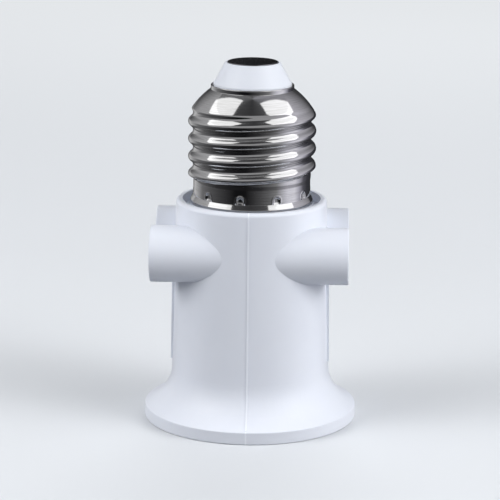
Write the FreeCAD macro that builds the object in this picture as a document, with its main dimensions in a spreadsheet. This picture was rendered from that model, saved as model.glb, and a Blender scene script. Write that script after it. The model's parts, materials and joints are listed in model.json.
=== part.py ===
import FreeCAD, Part
import math
import os

import Sketcher
from FreeCAD import Rotation, Vector

# A lamp holder with two pairs of plug outlets, standing on its flange.
# The origin is on the axis at the flange's underside, with +Z towards the screw cap.
# The outlets open along -X and +X, and the mould's parting line runs down the -Y and +Y sides.

# Driving dimensions in millimetres
SIZES = {
    # E27 lamp thread, shared by the screw cap and the lamp socket
    "thread_pitch": 3.629,
    "thread_depth": 1.0,
    "ridge_foot_half": 1.3,
    "ridge_waist_half": 0.75,
    "ridge_crest_half": 0.25,
    "ridge_waist_drop": 0.3,
    "ridge_root_sink": 0.15,
    # Screw cap, from its lip to the ring round the insulator
    "cap_crest_radius": 13.1,
    "cap_wall": 0.3,
    "skirt_step": 0.2,
    "lip_flare": 0.75,
    "lip_height": 1.7,
    "lip_taper": 0.4,
    "skirt_height": 3.3,
    "thread_height": 14.8,
    "thread_lead": 0.89,
    "thread_overrun": 2.0,
    "run_out_rise": 0.9,
    "shoulder_height": 3.65,
    "shoulder_arc_radius": 16.0,
    "ring_radius": 8.5,
    "ring_wall": 0.45,
    "ring_height": 0.9,
    "throat_depth": 0.45,
    # Punch marks that stake the cap into a groove of the neck, and the cap's turn in degrees
    "stake_count": 10,
    "stake_rise": 1.0,
    "stake_radius": 0.85,
    "stake_floor_radius": 0.4,
    "stake_depth": 0.5,
    "stake_back_half": 1.1,
    "stake_bite": 0.1,
    "stake_gap": 0.1,
    "cap_turn": 9.0,
    # Insulator and centre contact of the cap
    "insulator_gap": 0.1,
    "insulator_stand": 0.25,
    "insulator_cone_height": 4.28,
    "insulator_rim": 0.4,
    "insulator_round": 0.3,
    "insulator_flange": 0.55,
    "insulator_flange_drop": 1.15,
    "insulator_flange_thickness": 1.4,
    "contact_radius": 5.15,
    "contact_seat_depth": 0.38,
    "contact_edge": 0.55,
    "contact_dome": 0.25,
    "stem_radius": 1.6,
    "stem_wall": 0.4,
    "stem_flare": 0.8,
    # Collar, neck and roof of the housing
    "body_height": 46.2,
    "body_wall": 1.5,
    "collar_wall": 1.3,
    "collar_round": 0.8,
    "recess_depth": 2.0,
    "roof_thickness": 2.0,
    "seat_height": 1.3,
    "neck_gap": 0.1,
    "neck_wall": 2.0,
    "neck_height": 9.8,
    # Body, flare and rim of the housing
    "body_draft": 0.85,
    "flange_reach": 5.65,
    "flare_radius": 8.5,
    "rim_height": 2.6,
    "rim_wall": 2.0,
    "rim_lip": 1.5,
    "rim_round": 0.25,
    "strip_half_width": 3.0,
    "strip_foot_height": 12.4,
    "strip_foot_proud": 0.12,
    "strip_top_proud": 0.34,
    # Raised line where the two halves of the mould meet
    "parting_width": 0.36,
    "parting_proud": 0.08,
    "parting_root": 0.6,
    "parting_gap": 0.2,
    # Plug outlets
    "pin_spacing": 18.0,
    "pin_hole_radius": 2.4,
    "pin_hole_chamfer": 0.5,
    "tube_radius": 5.8,
    "tube_reach": 20.15,
    "tube_round": 0.3,
    "outlet_drop": 5.9,
    # Spring clips, bars and their rivets
    "clip_bore_radius": 1.95,
    "clip_wall": 0.45,
    "clip_start": 1.7,
    "clip_length": 5.42,
    "clip_wall_gap": 1.0,
    "clip_slit": 0.7,
    "clip_foot_overlap": 0.2,
    "clip_foot_reach": 1.2,
    "bar_thickness": 0.8,
    "bar_edge": 1.2,
    "bar_gap": 0.12,
    "bar_chamfer": 1.0,
    "rivet_clear": 0.4,
    "clip_rivet_head_radius": 1.0,
    "clip_rivet_radius": 0.6,
    "clip_rivet_head": 0.5,
    # Contact carrier
    "insert_gap": 0.15,
    "carrier_thickness": 5.0,
    "barrier_half": 0.8,
    "barrier_gap": 0.4,
    "slot_gap": 0.2,
    "relief_gap": 0.5,
    # Screws and bosses
    "screw_inset": 2.8,
    "screw_radius": 1.25,
    "screw_gap": 0.05,
    "screw_hole_gap": 0.15,
    "screw_head_radius": 2.0,
    "screw_head": 1.3,
    "screw_head_gap": 0.15,
    "screw_slot": 0.5,
    "screw_slot_length": 2.8,
    "screw_slot_depth": 0.7,
    "screw_point": 0.6,
    "screw_end_gap": 0.4,
    "boss_radius": 2.1,
    "boss_roof_gap": 0.6,
    # Lamp socket
    "thread_play": 0.3,
    "socket_wall": 0.3,
    "socket_gap": 0.3,
    "mouth_depth": 8.0,
    "socket_entry": 1.2,
    "socket_exit": 2.2,
    "socket_flange_edge": 1.8,
    "base_thickness": 4.6,
    "platform_height": 0.6,
    "platform_gap": 0.2,
    "shell_rivet_inset": 1.6,
    "shell_rivet_head_radius": 1.2,
    "socket_rivet_radius": 0.8,
    "socket_rivet_head": 0.6,
    "rivet_gap": 0.05,
    # Centre tongue and the straps that feed the socket
    "tongue_width": 5.0,
    "tongue_thickness": 0.4,
    "tongue_rivet_step": 1.6,
    "tongue_heel": 1.7,
    "tongue_toe": 3.2,
    "tongue_crown": 1.4,
    "tongue_drop": 2.6,
    "tongue_toe_lift": 0.9,
    "tongue_rivet_head_radius": 1.4,
    "strap_width": 3.0,
    "strap_thickness": 0.5,
    "strap_gap": 0.1,
    "strap_end": 1.5,
    # Leads from the cap to the bars
    "lead_radius": 0.7,
    "lead_gap": 0.3,
    "lead_bend_radius": 4.0,
    "lead_cross_height": 5.0,
    "lead_end_height": 1.0,
    "lead_turn_radius": 2.2,
    "lead_end_gap": 0.08,
    # How far a cut runs past what it opens
    "cut_overrun": 1.0,
}
FULL_TURN = 360
EDGE_TOLERANCE = 1e-4
LEAD_VOLUME_TOLERANCE = 0.01

doc = FreeCAD.newDocument("PlugInLampHolder")
sheet = doc.addObject("Spreadsheet::Sheet", "Sizes")
for row, (alias, number) in enumerate(SIZES.items(), start=1):
    sheet.set(f"A{row}", alias)
    sheet.set(f"B{row}", str(number))
    sheet.setAlias(f"B{row}", alias)
doc.recompute()


class Size:
    """A number together with the sheet expression that works it out."""

    def __init__(self, value, text):
        self.value = float(value)
        self.text = text

    @staticmethod
    def of(thing):
        if isinstance(thing, Size):
            return thing
        return Size(thing, repr(float(thing)))

    def __add__(self, other):
        other = Size.of(other)
        return Size(self.value + other.value, f"({self.text} + {other.text})")

    def __sub__(self, other):
        other = Size.of(other)
        return Size(self.value - other.value, f"({self.text} - {other.text})")

    def __mul__(self, other):
        other = Size.of(other)
        return Size(self.value * other.value, f"({self.text} * {other.text})")

    def __truediv__(self, other):
        other = Size.of(other)
        return Size(self.value / other.value, f"({self.text} / {other.text})")

    def __neg__(self):
        return Size(-self.value, f"(-1 * {self.text})")


def root(size):
    """The square root of a size's number."""
    return Size(math.sqrt(size.value), f"sqrt({size.text})")


def larger(one, other):
    """The larger of two sizes."""
    return Size(max(one.value, other.value), f"max({one.text}; {other.text})")


def cell(alias):
    """The size that the sheet holds under this alias."""
    return Size(sheet.get(alias), f"Sizes.{alias}")


def put(target, name, value):
    """Bind a property to the sheet if the value is a size, else set it."""
    if isinstance(value, Size):
        target.setExpression(name, value.text)
    else:
        setattr(target, name, value)


# Radii of the cap and of the neck inside it
CAP_ROOT = cell("cap_crest_radius") - cell("thread_depth")
SKIRT = CAP_ROOT - cell("skirt_step")
SKIRT_BORE = SKIRT - cell("cap_wall")
LIP = SKIRT + cell("lip_flare")
THROAT = cell("ring_radius") - cell("ring_wall")
NECK = SKIRT_BORE - cell("neck_gap")
NECK_BORE = NECK - cell("neck_wall")

# Radii of the lamp socket, and places of what is riveted and screwed inside it
SOCKET_GROOVE = cell("cap_crest_radius") + cell("thread_play")
SOCKET_CREST = SOCKET_GROOVE - cell("thread_depth")
SOCKET_OUTER = SOCKET_GROOVE + cell("socket_wall")
SHELL_RIVET = SOCKET_CREST - cell("shell_rivet_inset")
SOCKET_FLANGE = SHELL_RIVET - cell("socket_flange_edge")
SCREW = SOCKET_FLANGE - cell("screw_inset")

# Places of the clips, bars and straps beside the axis
PIN = cell("pin_spacing") / 2
SLEEVE = cell("clip_bore_radius") + cell("clip_wall")
CLIP_END = cell("clip_start") + cell("clip_length")
CLIP_MIDDLE = (cell("clip_start") + CLIP_END) / 2
CLIP_CORNER = root((PIN + SLEEVE) * (PIN + SLEEVE)
                   + (CLIP_END + cell("clip_wall_gap")) * (CLIP_END + cell("clip_wall_gap")))
CLIP_RIVET = PIN - SLEEVE - cell("clip_rivet_head_radius") - cell("rivet_clear")
BAR_INNER = CLIP_RIVET - cell("bar_edge")
BAR_OUTER = PIN + SLEEVE - cell("clip_wall")
STRAP_OUTER = BAR_INNER - cell("strap_gap")
STRAP_INNER = STRAP_OUTER - cell("strap_thickness")
TONGUE_RIVET = STRAP_OUTER + cell("tongue_rivet_step")

# Radii of the housing, worked out from the cavity that holds the socket and the clips
SOCKET_SEAT = SOCKET_OUTER + cell("socket_gap")
CAVITY = larger(SOCKET_SEAT, CLIP_CORNER)
CARRIER = CAVITY - cell("insert_gap")
BASE = SOCKET_SEAT - cell("insert_gap")
COLLAR = CAVITY + cell("body_wall")
COLLAR_BORE = COLLAR - cell("collar_wall")
BODY_FOOT = COLLAR + cell("body_draft")
RIM = BODY_FOOT + cell("flange_reach")

# Heights above the flange's underside, from the collar down to the socket
RECESS_FLOOR = cell("body_height") - cell("recess_depth")
ROOF = RECESS_FLOOR - cell("roof_thickness")
OUTLET = ROOF - cell("outlet_drop")
DECK = OUTLET - SLEEVE - cell("clip_wall") + cell("clip_foot_overlap")
BAR_SEAT = DECK - cell("bar_thickness")
CARRIER_SEAT = DECK - cell("carrier_thickness")
BASE_FACE = CARRIER_SEAT - cell("base_thickness")
PLATFORM_FACE = BASE_FACE - cell("platform_height")
FLARE_TOP = cell("rim_height") + root(
    cell("flare_radius") * cell("flange_reach") * 2 - cell("flange_reach") * cell("flange_reach"))

# Heights of the cap, from its lip upwards
NECK_TOP = RECESS_FLOOR + cell("neck_height")
CAP_FOOT = RECESS_FLOOR + cell("seat_height")
LIP_TOP = CAP_FOOT + cell("lip_height")
THREAD_FOOT = LIP_TOP + cell("skirt_height")
SHOULDER_FOOT = THREAD_FOOT + cell("thread_height")
RING_FOOT = SHOULDER_FOOT + cell("shoulder_height")
RING_TOP = RING_FOOT + cell("ring_height")
CONE_FOOT = RING_TOP + cell("insulator_stand")
INSULATOR_TOP = CONE_FOOT + cell("insulator_cone_height")
INSULATOR_FLANGE_TOP = RING_FOOT - cell("insulator_flange_drop")
INSULATOR_FOOT = INSULATOR_FLANGE_TOP - cell("insulator_flange_thickness")
STAKE_HEIGHT = LIP_TOP + cell("stake_rise")


def new_body(label):
    """A new body whose label is the name of its node."""
    body = doc.addObject("PartDesign::Body", label)
    body.Label = label
    return body


def origin_part(body, role):
    """The origin plane or axis of the body with this role."""
    for part in body.Origin.OriginFeatures:
        if part.Role == role:
            return part
    raise ValueError(f"{body.Label} has no {role}")


def new_sketch(body, name, plane, offset=None):
    """A sketch on an origin plane of its own body, moved out by the offset."""
    sketch = body.newObject("Sketcher::SketchObject", name)
    sketch.AttachmentSupport = [(origin_part(body, plane), "")]
    sketch.MapMode = "FlatFace"
    if offset is not None:
        sketch.setExpression("AttachmentOffset.Base.z", Size.of(offset).text)
    return sketch


def place_point(sketch, shape, end, across, up):
    """Tie one point of a sketch shape to the sheet; a plain 0 puts it on the axis."""
    for kind, size, axis in (("DistanceX", across, -2), ("DistanceY", up, -1)):
        if not isinstance(size, Size) and size == 0:
            sketch.addConstraint(Sketcher.Constraint("PointOnObject", shape, end, axis))
            continue
        size = Size.of(size)
        number = sketch.addConstraint(
            Sketcher.Constraint(kind, -1, 1, shape, end, size.value))
        sketch.setExpression(f"Constraints[{number}]", size.text)


def arc_through(start, end, radius, side):
    """The short arc between two points; its middle lies left (1) or right (-1) of the chord."""
    chord = end - start
    left = Vector(-chord.y, chord.x, 0).normalize()
    sagitta = radius - math.sqrt(radius ** 2 - (chord.Length / 2) ** 2)
    middle = (start + end) / 2 + left * (sagitta * side)
    return Part.ArcOfCircle(start, middle, end)


def outline(sketch, points):
    """Draw a closed outline.

    A point is (across, up), reached by a straight line, or (across, up, radius, side),
    reached by an arc whose middle lies left (1) or right (-1) of the way there.
    """
    corners = [Vector(Size.of(p[0]).value, Size.of(p[1]).value, 0) for p in points]
    ends = []
    for index, point in enumerate(points):
        start, stop = corners[index - 1], corners[index]
        if len(point) == 4:
            shape = sketch.addGeometry(
                arc_through(start, stop, Size.of(point[2]).value, point[3]), False)
            number = sketch.addConstraint(
                Sketcher.Constraint("Radius", shape, Size.of(point[2]).value))
            sketch.setExpression(f"Constraints[{number}]", Size.of(point[2]).text)
        else:
            shape = sketch.addGeometry(Part.LineSegment(start, stop), False)
        first = sketch.getPoint(shape, 1)
        forward = (first - start).Length < (first - stop).Length
        ends.append((shape, 1, 2) if forward else (shape, 2, 1))
    for index, (shape, begin, finish) in enumerate(ends):
        before, _, before_finish = ends[index - 1]
        sketch.addConstraint(
            Sketcher.Constraint("Coincident", before, before_finish, shape, begin))
        place_point(sketch, shape, finish, points[index][0], points[index][1])


def circle(sketch, across, up, radius):
    """Draw a circle with its centre and radius tied to the sheet."""
    centre = Vector(Size.of(across).value, Size.of(up).value, 0)
    shape = sketch.addGeometry(
        Part.Circle(centre, Vector(0, 0, 1), Size.of(radius).value), False)
    place_point(sketch, shape, 3, across, up)
    number = sketch.addConstraint(
        Sketcher.Constraint("Radius", shape, Size.of(radius).value))
    sketch.setExpression(f"Constraints[{number}]", Size.of(radius).text)


def rectangle(sketch, left, right, bottom, top):
    """Draw a rectangle between two widths and two heights."""
    outline(sketch, [(left, bottom), (right, bottom), (right, top), (left, top)])


def volume_of(body):
    """The body's volume now, or nothing before its first feature."""
    if body.Tip is None or body.Tip.Shape.isNull():
        return 0.0
    return body.Tip.Shape.Volume


def add_feature(body, kind, name, **settings):
    """Add a feature and check that it adds or takes away as its kind says."""
    before = volume_of(body)
    feature = body.newObject(f"PartDesign::{kind}", name)
    for setting, value in settings.items():
        put(feature, setting, value)
    body.Tip = feature
    doc.recompute()
    change = volume_of(body) - before
    takes_away = kind in ("Groove", "Pocket", "SubtractiveHelix", "Fillet", "Chamfer")
    if (change < 0) != takes_away:
        raise ValueError(f"{name} in {body.Label} changed the volume by {change:.4f}")
    return feature


def revolve(body, name, points):
    """Turn an outline of radius and height about the Z axis."""
    sketch = new_sketch(body, f"{name}_outline", "XZ_Plane")
    outline(sketch, points)
    return add_feature(body, "Revolution", name, Profile=sketch,
                       ReferenceAxis=(sketch, ["V_Axis"]), Angle=FULL_TURN)


def groove(body, name, *outlines):
    """Turn away everything inside the outlines about the Z axis."""
    sketch = new_sketch(body, f"{name}_outline", "XZ_Plane")
    for points in outlines:
        outline(sketch, points)
    return add_feature(body, "Groove", name, Profile=sketch,
                       ReferenceAxis=(sketch, ["V_Axis"]), Angle=FULL_TURN)


def turned_beside(body, name, offset, points):
    """Turn an outline about an upright line at this distance along Y."""
    sketch = new_sketch(body, f"{name}_outline", "YZ_Plane")
    outline(sketch, [(offset + Size.of(across), up) for across, up in points])
    low, high = points[0][1], points[-1][1]
    axis = sketch.addGeometry(
        Part.LineSegment(Vector(offset.value, Size.of(low).value, 0),
                         Vector(offset.value, Size.of(high).value, 0)), True)
    place_point(sketch, axis, 1, offset, low)
    place_point(sketch, axis, 2, offset, high)
    return add_feature(body, "Revolution", name, Profile=sketch,
                       ReferenceAxis=(sketch, ["Axis0"]), Angle=FULL_TURN)


def both_ways(body, kind, name, sketch, length):
    """Extrude a sketch evenly to both sides of its plane."""
    return add_feature(body, kind, name, Profile=sketch, SideType="Symmetric", Length=length)


def extrude(body, name, sketch, length):
    """Pad a sketch along its plane's normal."""
    return add_feature(body, "Pad", name, Profile=sketch, Length=length)


def polar(body, name, originals, count):
    """Repeat features evenly about the Z axis."""
    feature = body.newObject("PartDesign::PolarPattern", name)
    feature.Originals = originals
    feature.Axis = (origin_part(body, "Z_Axis"), [""])
    feature.Angle = FULL_TURN
    put(feature, "Occurrences", count)
    body.Tip = feature
    doc.recompute()
    return feature


def chosen_edges(body, test):
    """The tip, with the names of those of its edges that pass the test."""
    tip = body.Tip
    names = [f"Edge{number}" for number, edge in enumerate(tip.Shape.Edges, start=1)
             if test(edge)]
    return (tip, names)


def is_ring(edge, radius, height):
    """Whether an edge is a circle about the Z axis of this radius at this height."""
    if not isinstance(edge.Curve, Part.Circle):
        return False
    centre = edge.Curve.Center
    return (abs(edge.Curve.Radius - radius.value) < EDGE_TOLERANCE
            and abs(centre.z - height.value) < EDGE_TOLERANCE
            and math.hypot(centre.x, centre.y) < EDGE_TOLERANCE)


def is_mouth(edge, radius, reach):
    """Whether an edge is a circle of this radius in an end plane of the outlets."""
    if not isinstance(edge.Curve, Part.Circle):
        return False
    return (abs(edge.Curve.Radius - radius.value) < EDGE_TOLERANCE
            and abs(abs(edge.Curve.Center.x) - reach.value) < EDGE_TOLERANCE)


def body_radius(height):
    """The radius of the tapered body at a height."""
    rise = cell("body_height") - FLARE_TOP
    return BODY_FOOT - (height - FLARE_TOP) * (BODY_FOOT - COLLAR) / rise


def housing_outer_form(body):
    """The solid form: rim, flare, tapered body, collar, recess, cap seat and neck."""
    return revolve(body, "OuterForm", [
        (0, 0),
        (RIM, 0),
        (RIM, cell("rim_height")),
        (BODY_FOOT, FLARE_TOP, cell("flare_radius"), 1),
        (COLLAR, cell("body_height")),
        (COLLAR_BORE, cell("body_height")),
        (COLLAR_BORE, RECESS_FLOOR),
        (LIP, RECESS_FLOOR),
        (LIP, CAP_FOOT),
        (NECK, CAP_FOOT),
        (NECK, NECK_TOP),
        (NECK_BORE, NECK_TOP),
        (NECK_BORE, RECESS_FLOOR),
        (0, RECESS_FLOOR),
    ])


def housing_parting_line(body):
    """The thin raised line up the flare and the body at -Y and +Y."""
    proud = cell("parting_proud")
    sunk = cell("parting_root")
    start = RIM - cell("rim_round") - cell("parting_gap")
    inward = BODY_FOOT + cell("flare_radius") - start
    face_flare = cell("flare_radius") - proud
    root_flare = cell("flare_radius") + sunk
    top = cell("body_height") - cell("collar_round") - cell("parting_gap")
    line = new_sketch(body, "PartingLine_outline", "YZ_Plane")
    for side in (1, -1):
        outline(line, [
            (start * side, FLARE_TOP - root(face_flare * face_flare - inward * inward)),
            ((BODY_FOOT + proud) * side, FLARE_TOP, face_flare, side),
            ((body_radius(top) + proud) * side, top),
            ((body_radius(top) - sunk) * side, top),
            ((BODY_FOOT - sunk) * side, FLARE_TOP),
            (start * side, FLARE_TOP - root(root_flare * root_flare - inward * inward),
             root_flare, -side),
        ])
    both_ways(body, "Pad", "PartingLine", line, cell("parting_width"))


def housing_outlets(body):
    """Two round tubes each way along X, and the flat strip that runs down below them."""
    tubes = new_sketch(body, "Tubes_outline", "YZ_Plane")
    for side in (1, -1):
        circle(tubes, PIN * side, OUTLET, cell("tube_radius"))
    both_ways(body, "Pad", "Tubes", tubes, cell("tube_reach") * 2)

    strips = new_sketch(body, "Strips_outline", "XZ_Plane")
    foot_height = cell("strip_foot_height")
    foot = body_radius(foot_height) + cell("strip_foot_proud")
    top = body_radius(OUTLET) + cell("strip_top_proud")
    outline(strips, [(-foot, foot_height), (foot, foot_height), (top, OUTLET), (-top, OUTLET)])
    both_ways(body, "Pad", "Strips", strips, cell("strip_half_width") * 2)


def housing_hollow(body):
    """The open inside: bell mouth, then a straight bore up to the roof."""
    mouth = RIM - cell("rim_wall")
    reach = mouth - CAVITY
    rise = FLARE_TOP - cell("rim_lip")
    bell_radius = (reach * reach + rise * rise) / (reach * 2)
    groove(body, "Hollow", [
        (0, 0),
        (mouth, 0),
        (mouth, cell("rim_lip")),
        (CAVITY, FLARE_TOP, bell_radius, 1),
        (CAVITY, ROOF),
        (0, ROOF),
    ])


def housing_bosses(body):
    """Two bosses that hang from the roof and take the screws."""
    discs = new_sketch(body, "Bosses_outline", "XY_Plane", DECK)
    for side in (1, -1):
        circle(discs, SCREW * side, 0, cell("boss_radius"))
    extrude(body, "Bosses", discs, ROOF - DECK + cell("roof_thickness") / 2)

    pilots = new_sketch(body, "Pilots_outline", "XY_Plane", DECK)
    for side in (1, -1):
        circle(pilots, SCREW * side, 0, cell("screw_radius") + cell("screw_gap"))
    add_feature(body, "Pocket", "Pilots", Profile=pilots, Reversed=True,
                Length=ROOF - DECK - cell("boss_roof_gap"))


def housing_holes(body):
    """Pin holes through the tubes, lead holes through the roof, and the lead's notch."""
    pins = new_sketch(body, "PinHoles_outline", "YZ_Plane")
    for side in (1, -1):
        circle(pins, PIN * side, OUTLET, cell("pin_hole_radius"))
    both_ways(body, "Pocket", "PinHoles", pins, (cell("tube_reach") + cell("cut_overrun")) * 2)

    half = cell("lead_radius") + cell("lead_gap")
    leads = new_sketch(body, "LeadHoles_outline", "XY_Plane", ROOF)
    for side in (1, -1):
        circle(leads, 0, CLIP_RIVET * side, half)
    both_ways(body, "Pocket", "LeadHoles", leads,
              (cell("roof_thickness") + cell("cut_overrun")) * 2)

    notch = new_sketch(body, "Notch_outline", "XZ_Plane", NECK_BORE - cell("lead_gap"))
    rectangle(notch, -half, half, NECK_TOP - half * 2, NECK_TOP + cell("cut_overrun"))
    add_feature(body, "Pocket", "Notch", Profile=notch, Reversed=True,
                Length=cell("neck_wall") + cell("lead_gap") * 2)


def housing_stake_groove(body):
    """The groove round the neck that the cap's skirt is punched into."""
    half = cell("stake_back_half") + cell("stake_gap")
    floor = SKIRT - cell("stake_depth") - cell("cap_wall") - cell("stake_gap")
    groove(body, "StakeGroove", [
        (floor, STAKE_HEIGHT - half),
        (LIP, STAKE_HEIGHT - half),
        (LIP, STAKE_HEIGHT + half),
        (floor, STAKE_HEIGHT + half),
    ])


def housing_edges(body):
    """Rounded collar, tube ends and rim, and the lead-in at each pin hole."""
    round_collar = chosen_edges(body, lambda e: is_ring(e, COLLAR, cell("body_height")))
    add_feature(body, "Fillet", "CollarRound", Base=round_collar,
                Radius=cell("collar_round"))
    tube_ends = chosen_edges(body, lambda e: is_mouth(e, cell("tube_radius"), cell("tube_reach")))
    add_feature(body, "Fillet", "TubeRound", Base=tube_ends, Radius=cell("tube_round"))
    holes = chosen_edges(body, lambda e: is_mouth(e, cell("pin_hole_radius"), cell("tube_reach")))
    add_feature(body, "Chamfer", "PinLeadIn", Base=holes, Size=cell("pin_hole_chamfer"))
    zero = Size.of(0)
    rim = chosen_edges(body, lambda e: is_ring(e, RIM, zero)
                       or is_ring(e, RIM, cell("rim_height")))
    add_feature(body, "Fillet", "RimRound", Base=rim, Radius=cell("rim_round"))


def make_housing():
    """The one-piece moulded housing."""
    body = new_body("housing")
    housing_outer_form(body)
    housing_parting_line(body)
    housing_outlets(body)
    housing_hollow(body)
    housing_bosses(body)
    housing_holes(body)
    housing_stake_groove(body)
    housing_edges(body)
    return body


def ridge_points(crest, middle):
    """The section of the rolled thread's ridge about a height, from its sunk foot out."""
    depth = cell("thread_depth")
    foot = crest - depth
    sunk = foot - cell("ridge_root_sink")
    waist = crest - cell("ridge_waist_drop")
    slope = (cell("ridge_foot_half") - cell("ridge_waist_half")) / (depth - cell("ridge_waist_drop"))
    sunk_half = cell("ridge_foot_half") + slope * cell("ridge_root_sink")
    return [
        (sunk, middle - sunk_half),
        (waist, middle - cell("ridge_waist_half")),
        (crest, middle - cell("ridge_crest_half")),
        (crest, middle + cell("ridge_crest_half")),
        (waist, middle + cell("ridge_waist_half")),
        (sunk, middle + sunk_half),
    ]


def make_cap_shell():
    """The rolled screw cap: lip, staked skirt, thread, shoulder and ring."""
    body = new_body("cap_shell")
    revolve(body, "Blank", [
        (0, CAP_FOOT),
        (LIP, CAP_FOOT),
        (LIP, LIP_TOP - cell("lip_taper")),
        (CAP_ROOT, LIP_TOP),
        (CAP_ROOT, RING_TOP),
        (0, RING_TOP),
    ])

    start = THREAD_FOOT - cell("thread_lead")
    section = new_sketch(body, "Ridge_outline", "XZ_Plane")
    outline(section, ridge_points(cell("cap_crest_radius"), start))
    add_feature(body, "AdditiveHelix", "Thread", Profile=section,
                ReferenceAxis=(section, ["V_Axis"]), Mode=0, Pitch=cell("thread_pitch"),
                Height=SHOULDER_FOOT + cell("thread_overrun") - start)

    clear = cell("cap_crest_radius") + cell("thread_depth")
    rise = cell("run_out_rise")
    spread = clear - CAP_ROOT
    groove(body, "SkirtAndRunOut", [
        (SKIRT, LIP_TOP),
        (clear, LIP_TOP),
        (clear, THREAD_FOOT + rise * spread),
        (CAP_ROOT, THREAD_FOOT),
        (SKIRT, THREAD_FOOT - cell("skirt_step")),
    ])
    groove(body, "ShoulderAndRing", [
        (clear, SHOULDER_FOOT - spread),
        (clear, RING_TOP + cell("cut_overrun")),
        (cell("ring_radius"), RING_TOP + cell("cut_overrun")),
        (cell("ring_radius"), RING_FOOT),
        (CAP_ROOT, SHOULDER_FOOT, cell("shoulder_arc_radius"), 1),
    ])
    groove(body, "Inside", [
        (0, CAP_FOOT),
        (LIP - cell("cap_wall"), CAP_FOOT),
        (LIP - cell("cap_wall"), LIP_TOP - cell("lip_taper")),
        (SKIRT_BORE, LIP_TOP),
        (SKIRT_BORE, SHOULDER_FOOT - cell("cap_wall")),
        (THROAT, RING_FOOT - cell("throat_depth")),
        (THROAT, RING_TOP),
        (0, RING_TOP),
    ])

    half = cell("stake_back_half")
    back = new_sketch(body, "StakeBack_outline", "YZ_Plane",
                      SKIRT - cell("stake_depth") - cell("cap_wall"))
    rectangle(back, -half, half, STAKE_HEIGHT - half, STAKE_HEIGHT + half)
    bump = extrude(body, "StakeBack", back, cell("stake_depth") + cell("stake_bite"))
    dent = stake_dent(body)
    polar(body, "Stakes", [bump, dent], cell("stake_count"))
    body.Placement = FreeCAD.Placement(Vector(0, 0, 0), Rotation(Vector(0, 0, 1), 0))
    body.setExpression("Placement.Rotation.Angle", cell("cap_turn").text + " * 1 deg")
    return body


def stake_dent(body):
    """One punch mark: a shallow cone pushed in from outside, turned about the X direction."""
    sketch = new_sketch(body, "StakeDent_outline", "XZ_Plane")
    floor = SKIRT - cell("stake_depth")
    slope = (cell("stake_radius") - cell("stake_floor_radius")) / cell("stake_depth")
    outside = SKIRT + cell("stake_gap")
    outer = cell("stake_radius") + slope * cell("stake_gap")
    outline(sketch, [
        (floor, STAKE_HEIGHT),
        (outside, STAKE_HEIGHT),
        (outside, STAKE_HEIGHT + outer),
        (floor, STAKE_HEIGHT + cell("stake_floor_radius")),
    ])
    axis = sketch.addGeometry(
        Part.LineSegment(Vector(floor.value, STAKE_HEIGHT.value, 0),
                         Vector(outside.value, STAKE_HEIGHT.value, 0)), True)
    place_point(sketch, axis, 1, floor, STAKE_HEIGHT)
    place_point(sketch, axis, 2, outside, STAKE_HEIGHT)
    return add_feature(body, "Groove", "StakeDent", Profile=sketch,
                       ReferenceAxis=(sketch, ["Axis0"]), Angle=FULL_TURN)


def make_cap_insulator():
    """The white cone in the cap's top, with the flange that holds it from inside."""
    body = new_body("cap_insulator")
    spigot = THROAT - cell("insulator_gap")
    seat = cell("contact_radius") + cell("insulator_gap")
    hole = cell("stem_radius") + cell("insulator_gap")
    revolve(body, "Cone", [
        (hole, INSULATOR_FOOT),
        (THROAT + cell("insulator_flange"), INSULATOR_FOOT),
        (THROAT + cell("insulator_flange"), INSULATOR_FLANGE_TOP),
        (spigot, INSULATOR_FLANGE_TOP),
        (spigot, CONE_FOOT),
        (seat + cell("insulator_rim"), INSULATOR_TOP),
        (seat, INSULATOR_TOP),
        (seat, INSULATOR_TOP - cell("contact_seat_depth")),
        (hole, INSULATOR_TOP - cell("contact_seat_depth")),
    ])
    foot = chosen_edges(body, lambda e: is_ring(e, spigot, CONE_FOOT))
    add_feature(body, "Fillet", "ConeRound", Base=foot, Radius=cell("insulator_round"))
    return body


def make_cap_contact():
    """The centre contact: a low domed disc on a hollow stem that is flared inside the cap."""
    body = new_body("cap_contact")
    seat = INSULATOR_TOP - cell("contact_seat_depth")
    edge = seat + cell("contact_edge")
    crown = edge + cell("contact_dome")
    dome_radius = (cell("contact_radius") * cell("contact_radius")
                   + cell("contact_dome") * cell("contact_dome")) / (cell("contact_dome") * 2)
    bore = cell("stem_radius") - cell("stem_wall")
    end = INSULATOR_FOOT - cell("stem_wall")
    revolve(body, "DiscAndStem", [
        (bore, end),
        (cell("stem_radius") + cell("stem_flare"), end),
        (cell("stem_radius") + cell("stem_flare"), INSULATOR_FOOT),
        (cell("stem_radius"), INSULATOR_FOOT),
        (cell("stem_radius"), seat),
        (cell("contact_radius"), seat),
        (cell("contact_radius"), edge),
        (0, crown, dome_radius, -1),
        (0, seat),
        (bore, seat),
    ])
    return body


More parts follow.
